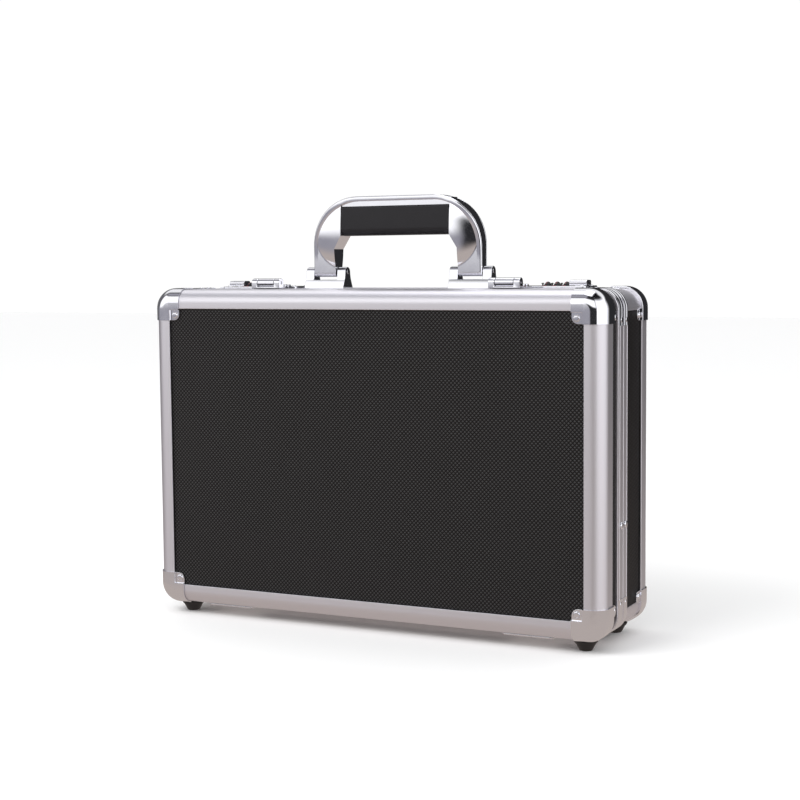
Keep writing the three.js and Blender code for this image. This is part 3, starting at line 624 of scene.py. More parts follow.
rim_thick = 6 * mm
lock_margin = 2 * mm
groove_from_seam = 9 * mm
groove_half, groove_deep, lip, groove_soft = 0.6 * mm, 0.7 * mm, 0.6 * mm, 0.3 * mm
for shell, facts in SHELLS.items():
    start, end = facts["wall_frame"]
    inner = board_level + board_metal
    wall = band_round([(board_level, start), (inner, start), (inner, end),
                       (board_level, end)], [], shell)
    if shell == "base":
        for side in SIDES:
            low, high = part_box(f"lock_body_{side}")
            plate_front = high.y - lock_plate_depth
            opening = block((low.x + lock_margin, plate_front + lock_margin,
                             z_top - 10 * mm),
                            (high.x - lock_margin, high.y - lock_margin, z_top))
            wall = combine("DIFFERENCE", wall, opening)
    make_piece(f"{shell}_walls", wall, shell, WALL_SHEET, f"{shell}_wall_frame")

    near, far = facts["rim"]
    groove = far - groove_from_seam
    section = [(0, near), (rim_thick, near), (rim_thick, far), (0, far),
               (0, groove + groove_half), (groove_deep, groove), (0, groove - groove_half)]
    rounded = [(0, lip, 3), (3, lip, 3), (4, groove_soft, 2), (6, groove_soft, 2)]
    bm = band_round(section, rounded, shell)
    make_piece(f"{shell}_rim_profile", bm, shell, ALUMINIUM_ROUND, f"{shell}_rim")
print("walls and rims made")

# %% [markdown]
# ## Corner caps
#
# A cap is pressed from one sheet: a ball corner with two short straight legs. Its section
# is an L of even thickness that follows the edge profile just outside it. The section is
# drawn out along the first leg, spun through a quarter turn about the corner's centre, and
# drawn out along the second leg. A hem goes down to the board, and three flat tabs lie on
# the boards, each with a rivet. All eight caps are copies of one, turned or mirrored.
#
# The drawing has its x inwards from the case's side, its y inwards from the shell's face
# and its z inwards from the top, so one matrix for each corner puts it in place.

# %% Corner caps
tab_top = board_level - clear - cap_metal
tab_under = board_level - clear
tab_reach = 10.7 * mm
rivet_place = 24.2 * mm


def corner_place(shell, side, level):
    face, into = SHELLS[shell]["face"], SHELLS[shell]["into"]
    out, up = SIDES[side], LEVELS[level]
    origin = (out * half_width, face, z_top if up > 0 else z_bottom)
    return axes(origin, (-out, 0, 0), (0, into, 0), (0, 0, -up))


def bent_section(points, rounded, leg):
    """Draws a section of (inset, depth) points along a leg, round the corner and back."""
    bm = outline(points, rounded)
    shift(bm, 0, 0, corner + leg)
    far = turn_corner(bm, draw_out(bm, bm.faces[:], (0, 0, -leg)), (corner, 0, corner),
                      -math.pi / 2)
    draw_out(bm, far, (leg, 0, 0))
    return tidy(bm)


def cap_shape():
    inner = cap_proud - cap_metal
    wall_end = side_flange + clear + cap_metal
    section = [(-cap_proud, -cap_proud), (corner, -cap_proud), (corner, -inner),
               (-inner, -inner), (-inner, wall_end - cap_metal),
               (tab_under, wall_end - cap_metal), (tab_under, wall_end),
               (-cap_proud, wall_end)]
    rounded = [(0, edge_radius + cap_proud, 14), (3, edge_radius + inner, 14),
               (7, 0.5 * mm, 3)]
    shell_of_cap = bent_section(section, rounded, cap_leg - corner)

    # The face's hem, drawn with its z towards the board
    start, end = corner - 0.6 * mm, flange + clear + cap_metal
    hem_leg, tab_leg, shade = cap_leg - 0.05 * mm, cap_leg - 0.1 * mm, 0.05 * mm
    drawn_down = axes((0, shade / 2 - cap_proud, 0), (1, 0, 0), (0, 0, 1), (0, 1, 0))
    hem = bar([(start, start), (hem_leg, start), (hem_leg, end), (end, end),
               (end, hem_leg), (start, hem_leg)], [], tab_under + cap_proud - shade)
    soften(hem, 0.45 * mm, 3, where=lambda e: all(v.co.z < touch for v in e.verts) and
           all(min(v.co.x, v.co.y) > end - touch for v in e.verts))
    hem = placed(hem, drawn_down)

    # Tabs: one on the face, one on the wall beside, one on the wall above
    def tab(points, rounded, matrix):
        bm = bar(points, rounded, cap_metal)
        soften(bm, 0.3 * mm, 2, where=lambda e: all(v.co.z < touch for v in e.verts))
        return placed(bm, matrix)

    first = start + shade
    face_tab = tab([(first, first), (tab_leg, first), (tab_leg, tab_leg), (first, tab_leg)],
                   [(2, 6 * mm, 8)],
                   axes((0, tab_top, 0), (1, 0, 0), (0, 0, 1), (0, 1, 0)))
    half = (cap_leg - flange - clear) / 2
    reach = side_flange + tab_reach
    wall_tab = [(flange + clear, side_flange + shade), (tab_leg, side_flange + shade),
                (tab_leg, reach), (flange + clear, reach)]
    ends = [(2, half * 0.97, 8), (3, half * 0.97, 8)]
    side_tab = tab(wall_tab, ends, axes((tab_top - shade, 0, 0), (0, 0, 1), (0, 1, 0),
                                       (1, 0, 0)))
    upper_tab = tab(wall_tab, ends, axes((0, 0, tab_top - shade), (1, 0, 0), (0, 1, 0), (0, 0, 1)))

    # Rivets: a larger one on the face and two smaller ones on the walls
    head, side_head, rise = 3.1 * mm, 2.5 * mm, 1.3 * mm
    wall_rivet = side_flange + 5.6 * mm
    on_face = placed(dome(head, rise), axes((rivet_place, tab_top, rivet_place),
                                            (1, 0, 0), (0, 0, 1), (0, -1, 0)))
    on_side = placed(dome(side_head, rise), axes((tab_top, wall_rivet, rivet_place),
                                                 (0, 1, 0), (0, 0, 1), (-1, 0, 0)))
    on_top = placed(dome(side_head, rise), axes((rivet_place, wall_rivet, tab_top),
                                                (1, 0, 0), (0, 1, 0), (0, 0, -1)))
    return combine("UNION", shell_of_cap, hem, face_tab, side_tab, upper_tab, on_face,
                   on_side, on_top)


cap = cap_shape()
print("cap:", len(cap.faces), "faces, open edges:",
      sum(not e.is_manifold for e in cap.edges))
for shell in SHELLS:
    for side in SIDES:
        for level in LEVELS:
            node = f"{shell}_cap_{level}_{side}"
            bm = placed(cap.copy(), corner_place(shell, side, level))
            make_piece(f"{node}_pressed", bm, shell, PRESSED_CHROME, node)
cap.free()

# %% [markdown]
# ## Rim corners and wall corners
#
# The rims are joined at each corner by a ridged chromed strip that laps over them, held by
# a rivet at each end. The base's deep wall has a plain metal plate bent round each corner.
# Both are sections carried round the corner, like the cap.

# %% Rim corners and wall corners
strip_leg = 13.5 * mm
strip_head, strip_rise = 2.4 * mm, 0.9 * mm
plate_leg = 1.5 * mm
for shell, facts in SHELLS.items():
    near, far = facts["rim"]
    width = far - near
    low_level, high_level = -0.15 * mm, -0.75 * mm
    section = [(0.4 * mm, near + 0.5 * mm), (0.4 * mm, far - 0.15 * mm),
               (low_level, far - 0.15 * mm), (high_level, near + 0.82 * width),
               (high_level, near + 0.62 * width), (low_level, near + 0.5 * width),
               (high_level, near + 0.38 * width), (high_level, near + 0.2 * width),
               (low_level, near + 0.5 * mm)]
    soft = [(i, 0.35 * mm, 2) for i in (3, 4, 5, 6, 7)]
    strip = bent_section(section, soft, strip_leg)
    middle = near + width / 2
    end = rivet_place + 2.5 * mm
    on_side = placed(dome(strip_head, strip_rise), axes((-0.2 * mm, middle, end),
                                                        (0, 1, 0), (0, 0, 1), (-1, 0, 0)))
    on_top = placed(dome(strip_head, strip_rise), axes((end, middle, -0.2 * mm),
                                                       (1, 0, 0), (0, 1, 0), (0, 0, -1)))
    strip = combine("UNION", strip, on_side, on_top)
    plate = None
    if shell == "base":
        proud = board_level - 0.7 * mm
        plate_start = side_flange + 2 * clear + cap_metal
        plate = bent_section([(proud, plate_start), (proud, near - clear),
                              (board_level + clear, near - clear),
                              (board_level + clear, plate_start)],
                             [(0, 0.3 * mm, 2), (1, 0.3 * mm, 2)], plate_leg)
    for side in SIDES:
        for level in LEVELS:
            where = corner_place(shell, side, level)
            make_piece(f"{shell}_rim_corner_{level}_{side}", placed(strip.copy(), where),
                       shell, PRESSED_CHROME)
            if plate:
                make_piece(f"{shell}_wall_corner_{level}_{side}",
                           placed(plate.copy(), where), shell, ALUMINIUM_ROUND)
    strip.free()
print("corner strips made")

# %% [markdown]
# ## Feet
#
# A foot is a moulded rubber cone with a narrow collar near the case, spun from a half
# section. A small step in the slope, as the mould leaves it, marks where the collar begins.

# %% Feet
sole_radius = 5.5 * mm
for shell in SHELLS:
    for side in SIDES:
        node = f"{shell}_foot_{side}"
        low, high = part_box(node)
        top = (high.x - low.x) / 2
        tall = high.z - low.z
        profile = [(0, 0), (sole_radius, 0), (0.86 * top, 0.72 * tall), (0.9 * top, 0.72 * tall),
                   (top, 0.88 * tall), (top, tall), (0, tall)]
        foot = turned(profile, [(1, 0.8 * mm, 3), (4, 0.5 * mm, 2), (5, 0.3 * mm, 2)], 40)
        shift(foot, (low.x + high.x) / 2, (low.y + high.y) / 2, low.z)
        make_piece(f"{node}_moulded", foot, shell, FOOT_RUBBER, node)
print("feet made")

# %% [markdown]
# ## Pins
#
# Hinge, hasp and handle pins are turned steel rods with softened ends. Each lies along X in
# the box of its CAD node.

# %% Pins
def pin_piece(node, body):
    low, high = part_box(node)
    centre = (low + high) / 2
    pin = rod((high.z - low.z) / 2, high.x - low.x, 0.3 * mm)
    placed(pin, axes((low.x, centre.y, centre.z), (0, 1, 0), (0, 0, 1), (1, 0, 0)))
    make_piece(f"{node}_turned", pin, body, PRESSED_CHROME, node)


for side in SIDES:
    pin_piece(f"hinge_pin_{side}", "lid")
    pin_piece(f"hasp_pin_{side}", "lid")
    pin_piece(f"handle_pin_{side}", "base")
print("pins made")

# %% [markdown]
# ## Hinges
#
# Each bottom hinge has two flat leaves under the walls. A leaf is a plate with rounded
# corners and three rivets; its knuckles are short tubes wrapped round the pin.

# %% Hinges
knuckle_radius = 2.2 * mm
leaf_metal = 1.4 * mm
leaf_corner = 2 * mm
leaf_head, leaf_head_rise = 2.2 * mm, 0.8 * mm
pin_room = 1.5 * mm
for shell, facts in SHELLS.items():
    for side in SIDES:
        node = f"{shell}_hinge_leaf_{side}"
        low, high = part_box(node)
        pin_low, pin_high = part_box(f"hinge_pin_{side}")
        pin = (pin_low + pin_high) / 2
        wide = pin_high.x - pin_low.x
        out = -facts["into"]
        reach = max(abs(low.y - pin.y), abs(high.y - pin.y))
        start = knuckle_radius + clear
        leaf = bar([(pin_low.x, start), (pin_high.x, start), (pin_high.x, reach),
                    (pin_low.x, reach)], [(2, leaf_corner, 5), (3, leaf_corner, 5)],
                   leaf_metal)
        soften(leaf, 0.25 * mm)
        placed(leaf, axes((0, pin.y, high.z - leaf_metal), (1, 0, 0), (0, out, 0), (0, 0, 1)))
        quarter = (wide - 2 * clear) / 4
        spans = [(0, quarter), (wide - quarter, wide)]
        if shell == "base":
            spans = [(quarter + clear, wide - quarter - clear)]
        parts = [leaf]
        for first, last in spans:
            knuckle = rod(knuckle_radius, last - first, 0.25 * mm)
            parts.append(placed(knuckle, axes((pin_low.x + first, pin.y, pin.z),
                                              (0, 1, 0), (0, 0, 1), (1, 0, 0))))
            strap = sorted((pin.y, pin.y + out * (start + 1 * mm)))
            parts.append(block((pin_low.x + first + touch, strap[0], high.z - 1.3 * mm),
                               (pin_low.x + last - touch, strap[1], high.z - 0.1 * mm)))
        for third in (-1, 0, 1):
            spot = (pin.x + third * wide / 3, pin.y + out * (reach * 0.62),
                    high.z - leaf_metal)
            head = dome(leaf_head, leaf_head_rise)
            parts.append(placed(head, axes(spot, (1, 0, 0), (0, 1, 0), (0, 0, -1))))
        leaf = combine("UNION", *parts)
        bore = rod(pin_room, wide + 2 * mm)
        placed(bore, axes((pin_low.x - 1 * mm, pin.y, pin.z), (0, 1, 0), (0, 0, 1),
                          (1, 0, 0)))
        leaf = combine("DIFFERENCE", leaf, bore)
        make_piece(f"{node}_pressed", leaf, shell, PRESSED_CHROME, node)
print("hinges made")

# %% [markdown]
# ## Handle brackets
#
# A bracket is a cast saddle with two round-topped ears. Its side outline is drawn out across
# its width, the slot for the handle's leg is cut out, the edges are softened, and the pin's
# bore goes through the ears.

# %% Handle brackets
pin_low, pin_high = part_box("handle_pin_right")
pivot = (pin_low + pin_high) / 2
ear_radius = 4.6 * mm
handle_bore = 2.3 * mm
leg_slot = 24.6 * mm
saddle = z_top + 7.9 * mm
for side in SIDES:
    node = f"handle_bracket_{side}"
    low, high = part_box(node)
    depth = (high.y - low.y) / 2
    neck = ear_radius + 0.6 * mm
    foot_top = z_top + 1.2 * mm
    # Outline in (y, z) from the pivot line; the flanks sweep in from the foot to the neck.
    points = [(-depth, low.z - pivot.z), (depth, low.z - pivot.z),
              (depth, foot_top - pivot.z), (neck + 0.3 * mm, foot_top + 9 * mm - pivot.z),
              (ear_radius, ear_radius), (-ear_radius, ear_radius),
              (-neck - 0.3 * mm, foot_top + 9 * mm - pivot.z), (-depth, foot_top - pivot.z)]
    rounded = [(4, ear_radius * 0.97, 8), (5, ear_radius * 0.97, 8), (3, 3 * mm, 5),
               (6, 3 * mm, 5)]
    bracket = bar(points, rounded, high.x - low.x)
    placed(bracket, axes((low.x, pivot.y, pivot.z), (0, 1, 0), (0, 0, 1), (1, 0, 0)))
    slot_start = (low.x + high.x - leg_slot) / 2
    slot = block((slot_start, low.y - 1 * mm, saddle),
                 (slot_start + leg_slot, high.y + 1 * mm, high.z + 1 * mm))
    bracket = combine("DIFFERENCE", bracket, slot)
    soften(bracket, 0.55 * mm, 3, angle=50)
    bore = rod(handle_bore, high.x - low.x + 4 * mm)
    placed(bore, axes((low.x - 2 * mm, pivot.y, pivot.z), (0, 1, 0), (0, 0, 1), (1, 0, 0)))
    bracket = combine("DIFFERENCE", bracket, bore)
    make_piece(f"{node}_cast", bracket, "base", CAST_CHROME, node)
print("brackets made")

# %% [markdown]
# ## Handle
#
# The handle is cast in one piece. A strap with a fine groove near each edge runs up one
# leg, over the top and down the other; its section is drawn out and spun like the rims.
# Inside it each leg is flat in front, and beside the grip it swells into a smooth cheek.
# A leg is a grid drawn through the handle: a formula gives each point its place between
# the leg's inner edge and the strap, and its depth on an ellipsoid that is almost level
# with the grip and meets the flat leg in an arc. The strap is wider at its crown than at
# its feet, so it is narrowed by its height.

# %% Handle
grip_low, grip_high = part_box("handle_grip")
frame_low, frame_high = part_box("handle_frame")
outer_x = frame_high.x
inner_x = outer_x - 23 * mm
foot_z = frame_low.z
crown_z = frame_high.z
bend = 47 * mm
half_depth = (frame_high.y - frame_low.y) / 2
leg_depth = 6.8 * mm
strap_thick = 4.5 * mm
strap_lap = 2.5 * mm
leg_below_crown = 7.2 * mm
seat = grip_high.x + clear
roof = grip_high.z + clear
scoop_z = grip_low.z - 12 * mm
widening_z, widening = 338 * mm, 50 * mm
cheek_x, cheek_z, cheek_across = 52 * mm, 360 * mm, 38 * mm
cheek_from, cheek_swell = 3 * mm, 7.05 * mm


def depth_at(z):
    """Half the handle's depth at a height: even on the legs, then growing to the crown."""
    grown = min(max((z - widening_z) / widening, 0), 1)
    return leg_depth + (half_depth - leg_depth) * grown * grown * (3 - 2 * grown)


def narrow(bm):
    """Gives the strap its depth at every height."""
    for v in bm.verts:
        v.co.y *= depth_at(v.co.z) / half_depth
    return bm


def cut_levels(bm, levels):
    """Cuts a bmesh across, so that it has points to narrow at these heights."""
    for level in levels:
        bmesh.ops.bisect_plane(bm, geom=bm.verts[:] + bm.edges[:] + bm.faces[:],
                               plane_co=(0, 0, level), plane_no=(0, 0, 1))
    return bm


def handle_strap():
    groove, deep = 2.6 * mm, 0.45 * mm
    edge = half_depth
    points = [(0, -edge), (0, groove / 2 - edge + 0.9 * mm), (deep, groove - edge),
              (0, groove - edge + 0.4 * mm), (0, edge - groove - 0.4 * mm),
              (deep, edge - groove), (0, edge - groove / 2 - 0.9 * mm), (0, edge),
              (strap_thick, edge), (strap_thick, -edge)]
    rounded = [(0, 1.4 * mm, 5), (7, 1.4 * mm, 5), (8, 0.5 * mm, 2), (9, 0.5 * mm, 2)]
    bm = outline(points, rounded)
    placed(bm, axes((outer_x, 0, foot_z), (-1, 0, 0), (0, 1, 0), (0, 0, 1)))
    x, z = outer_x - bend, crown_z - bend
    first = bm.faces[:]
    last = turn_corner(bm, draw_out(bm, first, (0, 0, z - foot_z)), (x, 0, z), -math.pi / 2)
    last = turn_corner(bm, draw_out(bm, last, (-2 * x, 0, 0)), (-x, 0, z), -math.pi / 2)
    draw_out(bm, last, (0, 0, foot_z - z))
    levels = [foot_z + (z - foot_z) * i / 6 for i in range(1, 6)]
    return narrow(cut_levels(tidy(bm), levels))


def edge_out(z):
    """The outline of the D at a height, a little inside the strap."""
    out, rise = outer_x - strap_lap, z - (crown_z - bend)
    if rise <= 0:
        return out
    radius = bend - strap_lap
    return outer_x - bend + math.sqrt(max(radius * radius - rise * rise, 0))


def edge_in(z):
    """The leg's inner edge, which slopes in to the grip's end."""
    part = min(max((z - scoop_z) / (grip_low.z - scoop_z), 0), 1)
    return inner_x + (seat - inner_x) * part


def cheek_depth(x, z):
    """An ellipsoid beside the grip, level with the leg outside its arc."""
    away = min(math.hypot(x - cheek_x, z - cheek_z) / cheek_across, 1)
    return max(cheek_from + cheek_swell * math.sqrt(1 - away * away), leg_depth)


def handle_leg(out):
    """A grid across and up the leg, drawn through the handle, then set to its depths."""
    bm = bmesh.new()
    bmesh.ops.create_grid(bm, x_segments=24, y_segments=70, size=0.5)
    draw_out(bm, bm.faces[:], (0, 0, 1))
    leg_top = crown_z - leg_below_crown
    for v in bm.verts:
        z = foot_z + (v.co.y + 0.5) * (leg_top - foot_z)
        x = edge_in(z) + (v.co.x + 0.5) * (edge_out(z) - edge_in(z))
        depth = cheek_depth(x, z)
        v.co = (out * x, depth if v.co.z > 0.5 else -depth, z)
    tidy(bm)
    bmesh.ops.triangulate(bm, faces=bm.faces[:])
    return bm


def handle_body():
    strap = handle_strap()
    bmesh.ops.triangulate(strap, faces=strap.faces[:])
    bridge = block((-seat - 1 * mm, -leg_depth, roof),
                   (seat + 1 * mm, leg_depth, crown_z - strap_lap))
    return combine("UNION", strap, handle_leg(-1), handle_leg(1), bridge)


def eye_cutter():
    """Rounds the handle's feet about the pivot line and keeps all that is above them."""
    deep, top = leg_depth + clear, crown_z + 5 * mm - pivot.z
    wide, shoulder = 2 * half_depth, 4 * mm
    points = [(-deep, -ear_radius), (deep, -ear_radius), (deep, shoulder), (wide, shoulder),
              (wide, top), (-wide, top), (-wide, shoulder), (-deep, shoulder)]
    end = ear_radius * 0.98
    bm = bar(points, [(0, end, 8), (1, end, 8)], 2 * outer_x + 4 * mm)
    start = (-outer_x - 2 * mm, 0, pivot.z)
    return placed(bm, axes(start, (0, 1, 0), (0, 0, 1), (1, 0, 0)))


handle_frame = combine("INTERSECT", handle_body(), eye_cutter())
bore = rod(handle_bore, 2 * outer_x + 4 * mm)
placed(bore, axes((-outer_x - 2 * mm, 0, pivot.z), (0, 1, 0), (0, 0, 1), (1, 0, 0)))
handle_frame = combine("DIFFERENCE", handle_frame, bore)
shift(handle_frame, 0, pivot.y, 0)
print("handle frame:", len(handle_frame.faces), "faces, open edges:",
      sum(not e.is_manifold for e in handle_frame.edges))
make_piece("handle_frame_cast", handle_frame, "handle", CAST_CHROME, "handle_frame",
           smooth_angle=28)

# %% [markdown]
# ## Grip
#
# The grip is moulded under the handle's crown. It is nearly square in section, with soft
# upper edges and rounder lower ones, and its ends are rounded off a little.

# %% Grip
tall = grip_high.z - grip_low.z
deep = grip_high.y - grip_low.y
lower, upper = 7 * mm, 1.6 * mm
section = [(0, 0), (deep, 0), (deep, tall), (0, tall)]
round_corners = [(0, lower, 12), (1, lower, 12), (2, upper, 5), (3, upper, 5)]
grip = bar(section, round_corners, grip_high.x - grip_low.x)
soften(grip, 0.5 * mm, 3, angle=60)
placed(grip, axes((grip_low.x, grip_low.y, grip_low.z), (0, 1, 0), (0, 0, 1), (1, 0, 0)))
make_piece("handle_grip_moulded", grip, "handle", GRIP_VINYL, "handle_grip")
print("grip made")

# %% [markdown]
# ## Hasps
#
# The hasp's base is a plate with two ears and a low ridge. The hasp itself has a knuckle
# between the ears and a thin plate that dips over the seam and lifts at its tip, so that a
# thumb can catch it. Side outlines are drawn out across the width. The lock's keeper has a
# ridge of the same shape.

# %% Hasps
def along_x(bm, x, y, z):
    """Stands a bar drawn in (y, z) so that it runs along +X from a point."""
    return placed(bm, axes((x, y, z), (0, 1, 0), (0, 0, 1), (1, 0, 0)))


def ridge(x_low, x_high, y_low, y_high, z_low, z_high):
    """A low half-round ridge along X."""
    wide = y_high - y_low
    bm = bar([(0, 0), (wide, 0), (wide, z_high - z_low), (0, z_high - z_low)],
             [(2, wide * 0.49, 8), (3, wide * 0.49, 8)], x_high - x_low)
    soften(bm, 0.3 * mm, 2, angle=60)
    return along_x(bm, x_low, y_low, z_low)


knuckle = 4.2 * mm
hasp_ear = 6 * mm
ridge_depth, ridge_rise = 5 * mm, 3.7 * mm
for side in SIDES:
    low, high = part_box(f"hasp_base_{side}")
    pin_low, pin_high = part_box(f"hasp_pin_{side}")
    pin = (pin_low + pin_high) / 2
    wide = high.x - low.x
    base_plate = block((low.x, pin.y - knuckle, low.z), (high.x, high.y, low.z + 1.6 * mm))
    soften(base_plate, 0.4 * mm, 2)
    ears = []
    for start in (low.x, high.x - hasp_ear):
        ear = bar([(-knuckle, low.z - pin.z), (knuckle, low.z - pin.z), (knuckle, knuckle),
                   (-knuckle, knuckle)], [(2, knuckle * 0.97, 8), (3, knuckle * 0.97, 8)],
                  hasp_ear)
        soften(ear, 0.5 * mm, 2, angle=60)
        ears.append(along_x(ear, start, pin.y, pin.z))
    rest = ridge(low.x, high.x, high.y - ridge_depth, high.y, low.z, low.z + ridge_rise)
    hasp_base = combine("UNION", base_plate, *ears, rest)
    groove = along_x(rod(knuckle + clear, wide - 2 * hasp_ear), low.x + hasp_ear, pin.y,
                     pin.z)
    bore = along_x(rod(pin_room, wide + 2 * mm), low.x - 1 * mm, pin.y, pin.z)
    hasp_base = combine("DIFFERENCE", hasp_base, groove, bore)
    make_piece(f"hasp_base_{side}_cast", hasp_base, "lid", CAST_CHROME, f"hasp_base_{side}")

    low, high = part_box(f"hasp_{side}")
    reach = high.y - pin.y
    top, metal, lift = 0.3 * mm, 1.6 * mm, 1.1 * mm
    # Side outline in (y, z) from the pin: along the top, down the tip and back underneath.
    start = knuckle + 0.6 * mm
    arm = [(start - 1.2 * mm, top), (start + 4 * mm, top), (reach * 0.5, top - 0.3 * mm),
           (reach - 6 * mm, top), (reach, top + lift), (reach, top + lift - metal),
           (reach - 6 * mm, top - metal), (reach * 0.5, top - metal - 0.3 * mm),
           (start - 1.2 * mm, top - metal)]
    plate = bar(arm, [(1, 2 * mm, 3), (3, 2.5 * mm, 4), (4, 0.6 * mm, 3), (5, 0.6 * mm, 3)],
                high.x - low.x)
    plate = along_x(plate, low.x, pin.y, pin.z)
    tip_cut = bar([(low.x, pin.y), (high.x, pin.y), (high.x, high.y), (low.x, high.y)],
                  [(2, 4 * mm, 8), (3, 4 * mm, 8)], 20 * mm)
    plate = combine("INTERSECT", plate, shift(tip_cut, 0, 0, pin.z - 10 * mm))
    clear_ears = [block((x, pin.y - knuckle, low.z - 1 * mm),
                        (x + hasp_ear + clear, pin.y + start, high.z + 1 * mm))
                  for x in (low.x - clear, high.x - hasp_ear)]
    plate = combine("DIFFERENCE", plate, *clear_ears)
    knuckle_rod = along_x(rod(knuckle, wide - 2 * hasp_ear - 2 * clear, 0.3 * mm),
                          pin_low.x + hasp_ear + clear, pin.y, pin.z)
    hasp = combine("UNION", plate, knuckle_rod)
    bore = along_x(rod(pin_room, wide + 2 * mm), low.x - 1 * mm, pin.y, pin.z)
    hasp = combine("DIFFERENCE", hasp, bore)
    make_piece(f"hasp_{side}_cast", hasp, f"hasp_{side}", CAST_CHROME, f"hasp_{side}")
print("hasps made")

# %% [markdown]
# ## Locks
#
# Each lock's plate is a casting with rounded corners. It has a slot for every dial, a slot
# for the button's stem, and a keeper with a low ridge under the hasp. A small T-shaped
# finger of black plastic stands beside each dial, and a red line in front of each dial is
# the mark that its figures are set against. The button has four fine grooves for a thumb.

# %% Locks
plate_rise, plate_sunk = 1.9 * mm, 1.6 * mm
dial_pitch = 9 * mm
dial_slot_half, dial_slot_reach = 3.4 * mm, 6.8 * mm
mark_half, mark_start, mark_end, mark_rise = 0.5 * mm, 1.6 * mm, 7.4 * mm, 0.12 * mm
finger_half, finger_deep, finger_rise = 0.35 * mm, 2 * mm, 2.2 * mm
cross_half, cross_lap, cross_low, cross_high = 1 * mm, 0.1 * mm, 1.8 * mm, 2.6 * mm
stem_slot_from, stem_slot_to = 170.5 * mm, 182.3 * mm
stem_middle, stem_half = 174.3 * mm, 2.5 * mm
button_rise = 2.2 * mm
thumb_grooves = 4
for side, out in SIDES.items():
    low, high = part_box(f"lock_body_{side}")
    dials = [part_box(f"dial_{side}_{i}") for i in (1, 2, 3)]
    middles = [(a + b) / 2 for a, b in dials]
    front = high.y - lock_plate_depth
    top = z_top + plate_rise
    under = z_top - plate_sunk
    plate = bar([(low.x, front), (high.x, front), (high.x, high.y), (low.x, high.y)],
                [(i, 3 * mm, 6) for i in range(4)], top - under)
    soften(plate, 0.7 * mm, 3, angle=60)
    shift(plate, 0, 0, under)
    hasp_low, hasp_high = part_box(f"hasp_base_{side}")
    keeper = block((hasp_low.x, low.y, z_top + clear),
                   (hasp_high.x, front + 3 * mm, top - 0.2 * mm))
    soften(keeper, 0.3 * mm, 2)
    rest = ridge(hasp_low.x, hasp_high.x, low.y, low.y + ridge_depth, z_top + clear, high.z)
    parts = [plate, keeper, rest]
    fingers = []
    for middle in middles:
        x = middle.x - out * dial_pitch / 2
        upright = block((x - finger_half, middle.y - finger_deep, top - touch),
                        (x + finger_half, middle.y, top + finger_rise))
        cross = block((x - cross_half, middle.y - finger_deep - cross_lap, top + cross_low),
                      (x + cross_half, middle.y + cross_lap, top + cross_high))
        fingers += [upright, soften(cross, 0.3 * mm, 2)]
    make_piece(f"lock_{side}_dial_fingers", combine("UNION", *fingers), "base",
               DIAL_PLASTIC)
    for x in (low.x + 5 * mm, high.x - 5 * mm):
        for y in (front + 5 * mm, high.y - 5 * mm):
            if abs(x - hasp_low.x) > 6 * mm or y > front + 8 * mm:
                parts.append(shift(dome(2.1 * mm, 0.8 * mm), x, y, top))
    lock = combine("UNION", *parts)
    cuts = [block((m.x - dial_slot_half, m.y - dial_slot_reach, under - 1 * mm),
                  (m.x + dial_slot_half, m.y + dial_slot_reach, top + 1 * mm))
            for m in middles]
    button_low, button_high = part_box(f"lock_button_{side}")
    slot_x = sorted((out * stem_slot_from, out * stem_slot_to))
    slot_half = stem_half + clear
    cuts.append(block((slot_x[0], middles[0].y - slot_half, under - 1 * mm),
                      (slot_x[1], middles[0].y + slot_half, top + 1 * mm)))
    lock = combine("DIFFERENCE", lock, *cuts)
    make_piece(f"lock_{side}_cast", lock, "base", CAST_CHROME, f"lock_body_{side}")

    marks = [block((m.x - mark_half, front + mark_start, top - 0.1 * mm),
                   (m.x + mark_half, m.y - mark_end, top + mark_rise)) for m in middles]
    make_piece(f"lock_{side}_index_marks", gather(marks), "base", DIAL_RED)

    # Button
    length = button_high.x - button_low.x
    deep, rise = button_high.y - button_low.y, button_high.z - z_top - button_rise
    button = bar([(0, 0), (deep, 0), (deep, rise), (0, rise)],
                 [(2, 2 * mm, 6), (3, 2 * mm, 6)], length)
    soften(button, 0.5 * mm, 2, angle=60)
    along_x(button, button_low.x, button_low.y, z_top + button_rise)
    grooves = []
    for i in range(thumb_grooves):
        x = button_low.x + length * (0.3 + 0.13 * i)
        groove = rod(0.7 * mm, deep + 2 * mm, steps=12)
        start = (x, button_low.y - 1 * mm, button_high.z + 0.3 * mm)
        grooves.append(placed(groove, axes(start, (1, 0, 0), (0, 0, -1), (0, 1, 0))))
    button = combine("DIFFERENCE", button, *grooves)
    stem_x = out * stem_middle
    stem = block((stem_x - stem_half, middles[0].y - stem_half, button_low.z),
                 (stem_x + stem_half, middles[0].y + stem_half, z_top + 3 * mm))
    button = combine("UNION", button, stem)
    make_piece(f"lock_button_{side}_cast", button, f"button_{side}", CAST_CHROME,
               f"lock_button_{side}")
print("locks made")

# %% [markdown]
# ## Dials
#
# A number dial is a small moulded wheel that narrows to its rim. Ten figures from 0 to 9
# stand round the rim in red. Each figure is a text made into a mesh, stood on the rim and
# turned by a tenth of a turn.

# %% Dials
figure_height = 1.9 * mm
dial_waist = 3.6 * mm
ridge_half = 0.9 * mm
figure_sunk = 0.2 * mm


def figure_mesh(text):
    curve = bpy.data.curves.new("figure", "FONT")
    curve.body = text
    curve.size = figure_height * 1.35
    curve.align_x = "CENTER"
    curve.align_y = "CENTER"
    curve.extrude = 0.12 * mm
    curve.resolution_u = 3
    working = bpy.data.objects.new("figure", curve)
    scene.collection.objects.link(working)
    mesh = bpy.data.meshes.new_from_object(working)
    bpy.data.objects.remove(working)
    return mesh


